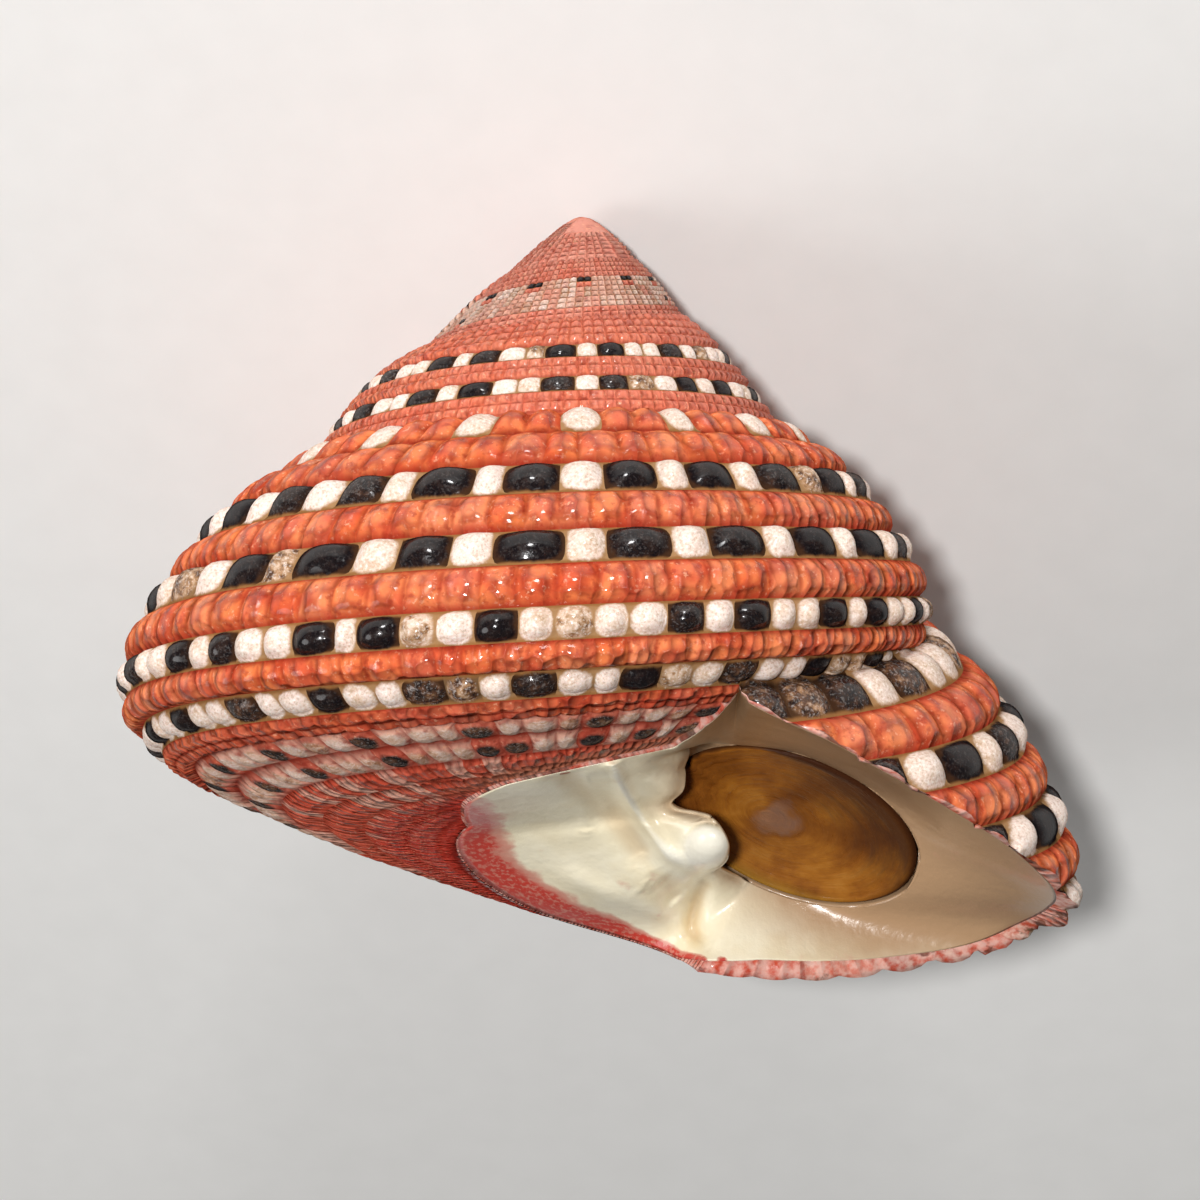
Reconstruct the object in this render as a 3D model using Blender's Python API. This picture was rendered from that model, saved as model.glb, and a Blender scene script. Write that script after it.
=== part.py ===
# Strawberry top shell: one coiled beaded shell and the horny plate that closes its mouth.
# Built round the coiling axis in millimetres, then laid on its flank with +Z up, in metres.
import bisect
import functools
import math

import bmesh
import bpy
import numpy as np
from mathutils import Vector

MM = 0.001

# Whorl profile at the front: cord number, distance from the axis, depth below the apex pole (mm).
# Cords 1 to 7 run down the flank, 8 to 16 over the base, 17 is the edge of the umbilical pad.
PROFILE = (
    (0.55, 4.54, 4.96), (1, 5.02, 5.12), (2, 5.96, 5.75), (3, 6.68, 6.38), (4, 7.18, 7.10),
    (5, 7.70, 7.78), (6, 8.06, 8.57), (7, 8.26, 9.35), (8, 8.06, 9.98), (9, 7.66, 10.50),
    (10, 7.16, 10.90), (11, 6.46, 11.24), (12, 5.52, 11.57), (13, 4.68, 11.82),
    (14, 3.84, 12.01), (15, 3.02, 12.14), (16, 2.29, 12.22), (17, 1.62, 12.24),
)
TOP_CORD = 0.55          # the suture edge of every whorl
SUTURE_CORD = 6.55       # where the next whorl is laid on
PAD_CORD = 17.0

# Growth round the coil: angle from the front (degrees), size of the whorl, lean of its profile.
GROWTH = (
    (-450, 0.570, 0.0), (-360, 0.515, 0.0), (-270, 0.565, 0.0), (-180, 0.670, 0.0),
    (-90, 0.838, 0.0), (0, 0.995, 0.0), (90, 1.050, 0.0), (180, 1.150, 3.0),
    (270, 1.080, 9.0), (340, 0.880, 25.0),
)
WHORL_RATIO = 1.943      # growth of the young whorls in one turn
YOUNG_BULGE = 0.30       # how much of the profile's swelling the young whorls show
YOUNG_SPAN = (-520.0, -300.0)
MOUTH_ANGLE = 332.0      # where the suture meets the lip
DROP_CORDS = 2.95        # the last whorl is laid on lower and lower towards the mouth
DROP_START = -180.0
DROP_SPAN = 152.0

# Outline of the lip on each cord, and of the white callus laid on the base.
LIP = (
    (0.55, 332), (1, 332), (2, 321), (3, 313), (4, 304), (5, 296), (6, 287), (7, 277),
    (8, 268), (9, 263), (11, 261), (14, 260), (17, 256),
)
CALLUS = ((13, -28), (14, 17), (15, 37), (16, 51), (17, 70))

STEPS = 84               # facets in a turn: forty-two beads
FIRST_COLUMN = -390
FINE_START = -189
FINE_ROWS = (TOP_CORD, 1, 1.5, 2, 2.5, 3, 3.5, 4, 4.5, 5, 5.5, 6, 6.5, 7, 7.5, 8, 8.5, 9, 9.5,
             10, 10.5, 11, 11.5, 12, 12.5, 13, 13.5, 14, 14.5, 15, 15.5, 16, PAD_CORD)
TIP_DOME = 0.10
MID_ROWS = (TOP_CORD, 2, 3, 4, 5, SUTURE_CORD)
TIP_ROWS = (TOP_CORD, 3, SUTURE_CORD)
TIP_STRIDE = 3
CORD_RELIEF = (0, 0.34, 0.34, 0.40, 0.36, 0.40, 0.36, 0.40, 0.34, 0.34, 0.30, 0.28, 0.27,
               0.26, 0.25, 0.24, 0.20, 0.0)
CREST_RISE = 0.17        # bead tops stand this far off the profile on the flank
TIP_SHIFT = 0.27         # the tip sits a little to the mouth side of the axis
TIP_SHIFT_DEPTH = 3.6
BEAD_NOTCH = (0, 0.18, 0.07, 0.22, 0.07, 0.22, 0.07, 0.22, 0.07, 0.17, 0.06, 0.12, 0.12,
              0.08, 0.07, 0.06, 0.05, 0.0)

# Mouth: points are right of, in front of and below the apex pole (mm).
LIP_THICK = 0.34
PLATE_CENTRE = (4.84, -0.16, 12.80)
PLATE_NORMAL = (-0.20, 0.76, 0.62)
PLATE_LONG = (0.927, -0.061, 0.37)
PLATE_HALF_LONG = 2.54
PLATE_HALF_SHORT = 1.78
PLATE_THICK = 0.26
PLATE_DISH = 0.16
PLATE_SIDES = 32
SEAT_GAP = 0.12
FOLD_LINE = (
    (2.75, -1.55, 15.35), (2.05, -0.95, 14.85), (1.75, 0.35, 14.10), (2.15, 1.30, 13.72),
    (2.00, 1.75, 13.50), (1.75, 2.45, 13.15), (1.40, 3.50, 12.60), (1.05, 4.50, 12.02),
    (2.00, 5.15, 11.75), (3.40, 6.60, 10.95),
)
COLUMELLA_EDGE = (
    (3.05, -1.95, 15.30), (2.85, -0.70, 14.60), (2.70, 0.55, 13.90), (3.05, 1.55, 13.80),
    (3.34, 2.35, 13.60), (2.85, 3.10, 13.05), (2.00, 3.35, 12.60), (2.02, 4.55, 12.02),
    (2.65, 5.95, 11.35), (3.42, 6.55, 10.80),
)
CAVE_STEPS = ((0.55, 0.97), (1.55, 0.86))
CAVE_END = 1.9
SEAT_FRONT = 0.20
FUNNEL_DIP = 0.25

# Lying pose.
AXIS_LEAN = 44.1         # coiling axis from the floor, tip down
ROLL = -3.0              # turn about the axis, so that the flank below the weight is down
FLAT_DEPTH = 0.16        # bead tops worn flat where the shell rests


def smooth_curve(x, xs, ys):
    """Cubic through the stations (xs, ys)."""
    x = min(max(x, xs[0]), xs[-1])
    i = min(max(bisect.bisect_right(xs, x) - 1, 0), len(xs) - 2)
    slopes = []
    for k in (i, i + 1):
        lo = max(k - 1, 0)
        hi = min(k + 1, len(xs) - 1)
        slopes.append((ys[hi] - ys[lo]) / (xs[hi] - xs[lo]))
    h = xs[i + 1] - xs[i]
    t = (x - xs[i]) / h
    start = (1 + 2 * t) * (1 - t) ** 2 * ys[i] + t * (1 - t) ** 2 * h * slopes[0]
    return start + t * t * (3 - 2 * t) * ys[i + 1] + t * t * (t - 1) * h * slopes[1]


CORDS, RADII, DEPTHS = zip(*PROFILE)
ANGLES, SIZES, LEANS = zip(*GROWTH)


def profile(cord):
    return np.array((smooth_curve(cord, CORDS, RADII), smooth_curve(cord, CORDS, DEPTHS)))


@functools.lru_cache(maxsize=None)
def from_top(cord):
    return profile(cord) - profile(TOP_CORD)


def whorl_section(angle, cord):
    """Profile from the upper suture, straighter on the young whorls."""
    full = from_top(cord)
    t = (angle - YOUNG_SPAN[0]) / (YOUNG_SPAN[1] - YOUNG_SPAN[0])
    if t >= 1 or cord > SUTURE_CORD:
        return full
    t = max(t, 0.0)
    bulge = YOUNG_BULGE + (1 - YOUNG_BULGE) * t * t * (3 - 2 * t)
    chord = from_top(SUTURE_CORD) * ((cord - TOP_CORD) / (SUTURE_CORD - TOP_CORD))
    return chord + (full - chord) * bulge


def attach_cord(angle):
    t = min(max((angle - DROP_START) / DROP_SPAN, 0.0), 1.0)
    return SUTURE_CORD + DROP_CORDS * (t * t * (3 - 2 * t)) ** 2


@functools.lru_cache(maxsize=None)
def whorl_point(angle, cord):
    """Distance from the axis and depth of a point on the smooth whorl."""
    if angle <= ANGLES[0]:
        scale = SIZES[0] * WHORL_RATIO ** ((angle - ANGLES[0]) / 360)
        pole = from_top(SUTURE_CORD) / (WHORL_RATIO - 1)
        return (pole + whorl_section(angle, cord)) * scale
    size = smooth_curve(angle, ANGLES, SIZES)
    lean = math.radians(smooth_curve(angle, ANGLES, LEANS))
    r, d = whorl_section(angle, cord) * size
    base = whorl_point(angle - 360, attach_cord(angle - 360))
    turned = (r * math.cos(lean) - d * math.sin(lean), d * math.cos(lean) + r * math.sin(lean))
    return base + np.array(turned)


def skin_point(angle, cord, sunk=0.0):
    """A point on the skin, set in by sunk along the outward direction."""
    p = whorl_point(angle, cord)
    if sunk:
        along = whorl_point(angle, min(cord + 0.05, PAD_CORD)) - whorl_point(angle, cord - 0.05)
        out = np.array((along[1], -along[0])) / np.hypot(*along)
        p = p - out * sunk
    a = math.radians(angle)
    aside = TIP_SHIFT * max(1 - p[1] / TIP_SHIFT_DEPTH, 0.0)
    return np.array((aside - p[0] * math.sin(a), p[0] * math.cos(a), p[1]))


def relief_size(angle):
    if angle < ANGLES[0]:
        return SIZES[0] * WHORL_RATIO ** ((angle - ANGLES[0]) / 360)
    return smooth_curve(angle, ANGLES, SIZES)


def sunk_at(angle, cord, column):
    """How far the skin lies below the crest of the beads."""
    nearest = int(round(cord))
    if column <= FINE_START:
        depth = 0.5 * CREST_RISE
    elif abs(cord - nearest) < 0.01 and 1 <= nearest <= 16:
        depth = BEAD_NOTCH[nearest] if column % 2 else 0.0
    else:
        a = CORD_RELIEF[min(max(int(math.floor(cord)), 1), 16)]
        b = CORD_RELIEF[min(max(int(math.ceil(cord)), 1), 16)]
        depth = 0.5 * (a + b)
    if cord >= PAD_CORD:
        depth = 0.0
    rise = CREST_RISE * min(max((11 - cord) / 3, 0.0), 1.0)
    return (depth - rise) * relief_size(angle)


def cord_limit(angle):
    """Lowest cord still in the open at this angle."""
    if angle < MOUTH_ANGLE - 360:
        return attach_cord(angle)
    cords, angles = zip(*CALLUS)
    return float(np.interp(angle, angles, cords))


def lip_angle(cord):
    cords, angles = zip(*LIP)
    return smooth_curve(cord, cords, angles)


def run_length(points):
    p = np.asarray(points, float)
    steps = np.linalg.norm(np.diff(p, axis=0), axis=1)
    return np.concatenate(([0.0], np.cumsum(steps)))


def on_line(points, t):
    """Points at fractions t of the length of a polyline."""
    p = np.asarray(points, float)
    run = run_length(p)
    return np.stack([np.interp(np.asarray(t) * run[-1], run, p[:, k]) for k in range(3)], -1)


class Skin:
    """Grid of the outside, from the tip to the lip, with shared corners along every suture."""

    def __init__(self):
        self.points = []
        self.index = {}
        self.faces = []

    def angle(self, column):
        return MOUTH_ANGLE + column * 360.0 / STEPS

    def rows(self, column):
        if column > FINE_START:
            return FINE_ROWS
        return MID_ROWS if column > -3 * STEPS else TIP_ROWS

    def vertex(self, column, cord, open_side):
        """Corner number at a column and cord; open_side tells which side of the callus it is on."""
        angle = self.angle(column)
        if column < -STEPS or (column == -STEPS and not open_side):
            limit = attach_cord(angle)
        else:
            limit = cord_limit(angle)
        if cord > limit - 0.13:
            cord = limit
        key = (column, round(cord, 3))
        if column > -STEPS and cord > TOP_CORD:
            end = lip_angle(cord)
            if angle > end - 1.6:
                angle = end
                key = ("lip", round(cord, 3))
        if cord <= TOP_CORD and column - STEPS >= FIRST_COLUMN:
            return self.vertex(column - STEPS, PAD_CORD, False)
        if key not in self.index:
            self.index[key] = len(self.points)
            self.points.append(skin_point(angle, cord, sunk_at(angle, cord, column)))
        return self.index[key]

    def add(self, loop):
        ring = []
        for v in loop:
            if not ring or v != ring[-1]:
                ring.append(v)
        if ring[0] == ring[-1]:
            ring.pop()
        if len(set(ring)) > 2:
            self.faces.append(tuple(ring))

    def build(self):
        column = FIRST_COLUMN
        while column < 0:
            stride = TIP_STRIDE if column < -3 * STEPS else 1
            after = column + stride
            left = self.rows(column)
            right = self.rows(after)
            coarse_top = column - STEPS < -3 * STEPS and stride == 1
            for a, b in zip(left, left[1:]):
                if coarse_top and a == TOP_CORD:
                    continue
                down = [self.vertex(column, c, True) for c in (a, b)]
                up = [self.vertex(after, c, False) for c in reversed(right) if a <= c <= b]
                self.add(down + up)
            if coarse_top and column % TIP_STRIDE == 0:
                run = [self.vertex(column, left[1], True)]
                run += [self.vertex(after, c, True) for c in reversed(right)
                        if right[1] <= c <= left[1]]
                run += [self.vertex(column + k, right[1], True) for k in range(2, TIP_STRIDE + 1)]
                top = [self.vertex(column + k, TOP_CORD, True) for k in (TIP_STRIDE, 0)]
                self.add(run + top)
            column = after


def unit(v):
    v = np.asarray(v, float)
    return v / np.linalg.norm(v)


def plate_frame():
    normal = unit(PLATE_NORMAL)
    long_way = np.asarray(PLATE_LONG, float)
    long_way = unit(long_way - normal * long_way.dot(normal))
    return np.asarray(PLATE_CENTRE, float), long_way, np.cross(normal, long_way), normal


def boundary(faces):
    """The open edge loops of a set of faces, in face order."""
    edges = set()
    for face in faces:
        for pair in zip(face, face[1:] + face[:1]):
            edges.add(pair)
    follow = {a: b for a, b in edges if (b, a) not in edges}
    loops = []
    while follow:
        start = min(follow)
        loop = [start]
        nxt = follow.pop(start)
        while nxt != start:
            loop.append(nxt)
            nxt = follow.pop(nxt)
        loops.append(loop)
    return loops


def column_near(angle):
    return int(math.ceil((angle - MOUTH_ANGLE) * STEPS / 360.0))


def mouth_loops(skin, loop):
    """Rings that lead from the edge of the skin over callus and lip into the cave."""
    corner = skin.index[(-STEPS, 9.5)]
    at = loop.index(corner)
    order = loop[at:] + loop[:at]
    pts = np.array([skin.points[v] for v in order])
    pad_end = order.index(skin.index[(column_near(CALLUS[-1][1]), PAD_CORD)])
    base_end = order.index(skin.index[("lip", PAD_CORD)])
    count = len(order)
    centre, long_way, short_way, normal = plate_frame()
    inner = pts + LIP_THICK * np.array([unit(centre - p) for p in pts])

    def side_points(line, ends):
        """Callus part of a ring: from the suture corner back to the foot of the columella."""
        path = np.array((ends[0],) + tuple(line[1:-1]) + (ends[1],))
        split = 6
        out = []
        run = run_length(pts[:pad_end + 1])
        out.extend(on_line(path[split:], 1 - run / run[-1]))
        run = run_length(pts[pad_end:base_end + 1])
        out.extend(on_line(path[:split + 1], 1 - run / run[-1])[1:])
        return np.array(out)

    fold = inner.copy()
    fold[:base_end + 1] = side_points(FOLD_LINE, (inner[base_end], inner[0]))

    def ring(shape, scale, offset):
        """Ellipse round the plate, one point for every point of shape."""
        rel = shape - centre
        turn = np.arctan2(rel.dot(short_way) / PLATE_HALF_SHORT, rel.dot(long_way) / PLATE_HALF_LONG)
        turn = np.unwrap(turn)
        way = 1 if turn[-1] > turn[0] else -1
        turn = way * np.maximum.accumulate(way * turn)
        even = turn[0] + way * 2 * math.pi * np.arange(count) / count
        turn = 0.75 * turn + 0.25 * even
        a = scale * (PLATE_HALF_LONG + SEAT_GAP)
        b = scale * (PLATE_HALF_SHORT + SEAT_GAP)
        flat = np.outer(np.cos(turn), long_way) * a + np.outer(np.sin(turn), short_way) * b
        return centre + flat + normal * offset

    guide = inner.copy()
    seat = ring(guide, 1.0, SEAT_FRONT)
    edge = inner + 0.45 * (seat - inner) - normal * FUNNEL_DIP
    edge[:base_end + 1] = side_points(COLUMELLA_EDGE, (edge[base_end], edge[0]))
    guide[:base_end + 1] = edge[:base_end + 1]
    seat = ring(guide, 1.0, SEAT_FRONT)
    edge[base_end + 1:] = (inner + 0.45 * (seat - inner) - normal * FUNNEL_DIP)[base_end + 1:]
    rings = [fold, edge, seat]
    for depth, scale in CAVE_STEPS:
        rings.append(ring(guide, scale, -depth))
    return order, rings


def shell_mesh():
    """Points (mm, round the axis) and faces of the shell as one closed skin."""
    skin = Skin()
    skin.build()
    loops = sorted(boundary(skin.faces), key=len)
    tip, mouth = loops[0], loops[-1]
    top = np.mean([skin.points[v] for v in tip], axis=0) + np.array((0.0, 0.0, -TIP_DOME))
    skin.points.append(top)
    apex = len(skin.points) - 1
    for a, b in zip(tip, tip[1:] + tip[:1]):
        skin.add((b, a, apex))
    order, rings = mouth_loops(skin, mouth)
    last = order
    for ring in rings:
        fresh = list(range(len(skin.points), len(skin.points) + len(ring)))
        skin.points.extend(ring)
        for i in range(len(last)):
            k = (i + 1) % len(last)
            skin.add((last[k], last[i], fresh[i], fresh[k]))
        last = fresh
    centre, _, _, normal = plate_frame()
    skin.points.append(centre - normal * CAVE_END)
    end = len(skin.points) - 1
    for i in range(len(last)):
        skin.add((last[(i + 1) % len(last)], last[i], end))
    return np.array(skin.points), skin.faces


def plate_mesh():
    """Points and faces of the horny plate: a thin oval dish with a rounded rim."""
    centre, long_way, short_way, normal = plate_frame()
    rings = ((0.45, 0.5 * PLATE_THICK - PLATE_DISH), (0.85, 0.5 * PLATE_THICK - 0.4 * PLATE_DISH),
             (0.97, 0.5 * PLATE_THICK), (1.0, 0.0), (0.94, -0.5 * PLATE_THICK))
    points = [centre + normal * (0.5 * PLATE_THICK - 1.1 * PLATE_DISH)]
    for scale, height in rings:
        for k in range(PLATE_SIDES):
            t = 2 * math.pi * k / PLATE_SIDES
            points.append(centre + long_way * (scale * PLATE_HALF_LONG * math.cos(t))
                          + short_way * (scale * PLATE_HALF_SHORT * math.sin(t)) + normal * height)
    points.append(centre - normal * 0.5 * PLATE_THICK)
    faces = []
    n = PLATE_SIDES
    for k in range(n):
        m = (k + 1) % n
        faces.append((0, 1 + k, 1 + m))
        for r in range(len(rings) - 1):
            a = 1 + r * n
            b = a + n
            faces.append((a + k, b + k, b + m, a + m))
        faces.append((len(points) - 1, 1 + (len(rings) - 1) * n + m, 1 + (len(rings) - 1) * n + k))
    return np.array(points), faces


def lay_down(points):
    """Turn points from round the axis to the lying pose, camera side to -Y."""
    lean = math.radians(AXIS_LEAN)
    roll = math.radians(ROLL)
    x = points[:, 0] * math.cos(roll) - points[:, 1] * math.sin(roll)
    y = points[:, 0] * math.sin(roll) + points[:, 1] * math.cos(roll)
    z = points[:, 2]
    return np.stack((-x, z * math.cos(lean) - y * math.sin(lean),
                     y * math.cos(lean) + z * math.sin(lean)), -1)


def material(name, colour, roughness, coat):
    mat = bpy.data.materials.new(name)
    mat.use_nodes = True
    shader = mat.node_tree.nodes["Principled BSDF"]
    shader.inputs["Base Color"].default_value = (*colour, 1.0)
    shader.inputs["Roughness"].default_value = roughness
    shader.inputs["Coat Weight"].default_value = coat
    mat.diffuse_color = (*colour, 1.0)
    return mat


def solid(name, points, faces, mat, cut_floor=False):
    """A closed body from points in millimetres, facing outwards, with an optional flat to rest on."""
    bm = bmesh.new()
    verts = [bm.verts.new(Vector(p) * MM) for p in points]
    for face in faces:
        bm.faces.new([verts[v] for v in face])
    bmesh.ops.triangulate(bm, faces=bm.faces[:], quad_method="SHORT_EDGE")
    if bm.calc_volume(signed=True) < 0:
        bmesh.ops.reverse_faces(bm, faces=bm.faces[:])
    if cut_floor:
        everything = bm.verts[:] + bm.edges[:] + bm.faces[:]
        cut = bmesh.ops.bisect_plane(bm, geom=everything, dist=1e-8, plane_co=(0, 0, 0),
                                     plane_no=(0, 0, -1), clear_outer=True)
        rim = [e for e in cut["geom_cut"] if isinstance(e, bmesh.types.BMEdge)]
        flats = bmesh.ops.edgenet_fill(bm, edges=rim)["faces"]
        bmesh.ops.recalc_face_normals(bm, faces=bm.faces[:])
        bmesh.ops.triangulate(bm, faces=flats)
    mesh = bpy.data.meshes.new(name)
    bm.to_mesh(mesh)
    bm.free()
    mesh.materials.append(mat)
    obj = bpy.data.objects.new(name, mesh)
    bpy.context.scene.collection.objects.link(obj)
    return obj


def main():
    for obj in list(bpy.data.objects):
        bpy.data.objects.remove(obj, do_unlink=True)
    shell, shell_faces = shell_mesh()
    plate, plate_faces = plate_mesh()
    shell = lay_down(shell)
    plate = lay_down(plate)
    low, high = shell.min(axis=0), shell.max(axis=0)
    shift = np.array((0.5 * (low[0] + high[0]), 0.5 * (low[1] + high[1]), low[2] + FLAT_DEPTH))
    coral = material("coral_shell", (0.76, 0.14, 0.06), 0.32, 0.4)
    horn = material("brown_horn", (0.16, 0.06, 0.015), 0.35, 0.2)
    solid("shell", shell - shift, shell_faces, coral, cut_floor=True)
    solid("operculum", plate - shift, plate_faces, horn)


main()
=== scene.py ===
import bisect
import math

import bpy
import numpy as np
from mathutils import Matrix, Vector


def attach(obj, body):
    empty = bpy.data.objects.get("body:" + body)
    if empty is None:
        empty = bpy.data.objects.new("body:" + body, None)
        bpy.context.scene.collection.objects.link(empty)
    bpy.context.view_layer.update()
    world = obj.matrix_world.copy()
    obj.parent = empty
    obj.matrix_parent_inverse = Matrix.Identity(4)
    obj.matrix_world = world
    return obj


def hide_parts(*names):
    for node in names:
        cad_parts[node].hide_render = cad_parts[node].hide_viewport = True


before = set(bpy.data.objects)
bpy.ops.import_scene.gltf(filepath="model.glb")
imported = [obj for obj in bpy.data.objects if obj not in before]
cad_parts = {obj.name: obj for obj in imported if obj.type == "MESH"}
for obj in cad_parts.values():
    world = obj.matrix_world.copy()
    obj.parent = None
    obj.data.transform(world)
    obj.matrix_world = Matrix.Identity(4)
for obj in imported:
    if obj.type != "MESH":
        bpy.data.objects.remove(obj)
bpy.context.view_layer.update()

print("frame loaded")


# Sizes are in millimetres round the coiling axis: right of, in front of and below the apex pole.
coil = {
    # cord number, distance from the axis, depth below the pole, on the whorl at the front
    "profile": [
        (0.55, 4.54, 4.96), (1, 5.02, 5.12), (2, 5.96, 5.75), (3, 6.68, 6.38), (4, 7.18, 7.10),
        (5, 7.70, 7.78), (6, 8.06, 8.57), (7, 8.26, 9.35), (8, 8.06, 9.98), (9, 7.66, 10.50),
        (10, 7.16, 10.90), (11, 6.46, 11.24), (12, 5.52, 11.57), (13, 4.68, 11.82),
        (14, 3.84, 12.01), (15, 3.02, 12.14), (16, 2.29, 12.22), (17, 1.62, 12.24),
    ],
    # angle from the front, size of the whorl, lean of its profile
    "growth": [
        (-450, 0.570, 0), (-360, 0.515, 0), (-270, 0.565, 0), (-180, 0.670, 0), (-90, 0.838, 0),
        (0, 0.995, 0), (90, 1.050, 0), (180, 1.150, 3), (270, 1.080, 9), (340, 0.880, 25),
    ],
    "topCord": 0.55,          # upper edge of a whorl, in the suture
    "sutureCord": 6.55,       # where the next whorl is laid on
    "padCord": 17.0,
    "youngGrowth": 1.943,     # growth in one turn of the young whorls
    "youngBulge": 0.30,
    "youngSpan": (-520.0, -300.0),
    "mouthAngle": 332.0,
    "dropCords": 2.95,        # the last whorl leaves the periphery towards the mouth
    "dropStart": -180.0,
    "dropSpan": 152.0,
    "tipShift": 0.27,
    "tipShiftDepth": 3.6,
    "tipAside": 0.83,         # share of the shift at the very tip
    "domeRings": (0.8, 0.55, 0.3),    # rings that close the tip, as shares of its open edge
    "wornUpTo": -640.0,       # the turns before this angle are worn round
    "tipWorn": (0.37, 1.03),   # depth of the worn tip below the pole, slope round it
    "lip": [(0.55, 332), (1, 332), (2, 321), (3, 313), (4, 304), (5, 296), (6, 287), (7, 277),
            (8, 268), (9, 263), (11, 261), (14, 260), (17, 256)],
    "callus": [(13, -28), (14, 17), (15, 37), (16, 51), (17, 70)],
    "lean": 44.1,             # coiling axis from the floor, tip down
    "roll": -3.0,
    "origin": (-0.7008411, 8.05474654, -0.18549863),   # of the lying pose
}


# 0 to 1, slow at both ends.
def ease(t):
    t = min(max(t, 0), 1)
    return t * t * (3 - 2 * t)


def smoothCurve(x, stations, values):
    x = min(max(x, stations[0]), stations[-1])
    i = min(max(bisect.bisect_right(stations, x) - 1, 0), len(stations) - 2)
    slopes = []
    for k in (i, i + 1):
        lo, hi = max(k - 1, 0), min(k + 1, len(stations) - 1)
        slopes.append((values[hi] - values[lo]) / (stations[hi] - stations[lo]))
    h = stations[i + 1] - stations[i]
    t = (x - stations[i]) / h
    start = (1 + 2 * t) * (1 - t) ** 2 * values[i] + t * (1 - t) ** 2 * h * slopes[0]
    return start + t * t * (3 - 2 * t) * values[i + 1] + t * t * (t - 1) * h * slopes[1]


profileCords, profileRadii, profileDepths = zip(*coil["profile"])
growthAngles, growthSizes, growthLeans = zip(*coil["growth"])
fromTopStore = {}
whorlStore = {}


# Profile point counted from the suture edge.
def fromTop(cord):
    if cord not in fromTopStore:
        here = [smoothCurve(cord, profileCords, v) for v in (profileRadii, profileDepths)]
        fromTopStore[cord] = np.array(here) - (profileRadii[0], profileDepths[0])
    return fromTopStore[cord]


def wholeSize(angle):
    if angle < growthAngles[0]:
        return growthSizes[0] * coil["youngGrowth"] ** ((angle - growthAngles[0]) / 360)
    return smoothCurve(angle, growthAngles, growthSizes)


def attachCord(angle):
    return coil["sutureCord"] + coil["dropCords"] * ease((angle - coil["dropStart"]) / coil["dropSpan"]) ** 2


# Whorl profile from the upper suture, straighter on the young whorls.
def section(angle, cords):
    full = np.array([fromTop(c) for c in cords])
    t = (angle - coil["youngSpan"][0]) / (coil["youngSpan"][1] - coil["youngSpan"][0])
    if t >= 1:
        return full
    t = max(t, 0)
    bulge = coil["youngBulge"] + (1 - coil["youngBulge"]) * t * t * (3 - 2 * t)
    share = (np.array(cords) - coil["topCord"]) / (coil["sutureCord"] - coil["topCord"])
    chord = np.outer(share, fromTop(coil["sutureCord"]))
    straight = chord + (full - chord) * bulge
    return np.where((share <= 1)[:, None], straight, full)


# Distance from the axis and depth for several cords at one angle.
def whorlPoints(angle, cords):
    if angle <= growthAngles[0]:
        pole = fromTop(coil["sutureCord"]) / (coil["youngGrowth"] - 1)
        return (pole + section(angle, cords)) * wholeSize(angle)
    key = round(angle - 360, 4)
    if key not in whorlStore:
        whorlStore[key] = whorlPoints(angle - 360, [attachCord(angle - 360)])[0]
    lean = math.radians(smoothCurve(angle, growthAngles, growthLeans))
    r, d = (section(angle, cords) * wholeSize(angle)).T
    turned = np.stack((r * math.cos(lean) - d * math.sin(lean), d * math.cos(lean) + r * math.sin(lean)), 1)
    return whorlStore[key] + turned


# Points and outward directions of the smooth whorl.
def skinPoints(angle, cords):
    cords = np.array(cords, float)
    here = whorlPoints(angle, list(cords))
    along = whorlPoints(angle, list(np.minimum(cords + 0.05, coil["padCord"])))
    along = along - whorlPoints(angle, list(np.maximum(cords - 0.05, coil["topCord"])))
    out = np.stack((along[:, 1], -along[:, 0]), 1) / np.linalg.norm(along, axis=1)[:, None]
    a = math.radians(angle)
    aside = coil["tipShift"] * np.maximum(1 - here[:, 1] / coil["tipShiftDepth"], 0)
    points = np.stack((aside - here[:, 0] * math.sin(a), here[:, 0] * math.cos(a), here[:, 1]), 1)
    return points, np.stack((-out[:, 0] * math.sin(a), out[:, 0] * math.cos(a), out[:, 1]), 1)


# A point of the first turns, lowered on to a round tip where it stands proud of it.
def wornTip(p):
    depth, slope = coil["tipWorn"]
    away = math.hypot(p[0] - coil["tipShift"] * coil["tipAside"], p[1])
    return np.array((p[0], p[1], max(p[2], math.hypot(depth, slope * away))))


# Lowest cord still in the open.
def cordLimit(angle):
    if angle < coil["mouthAngle"] - 360 - 1e-6:
        return attachCord(angle)
    cords, angles = zip(*coil["callus"])
    return float(np.interp(angle, angles, cords))


def lipAngle(cord):
    cords, angles = zip(*coil["lip"])
    return smoothCurve(cord, cords, angles)


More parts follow.
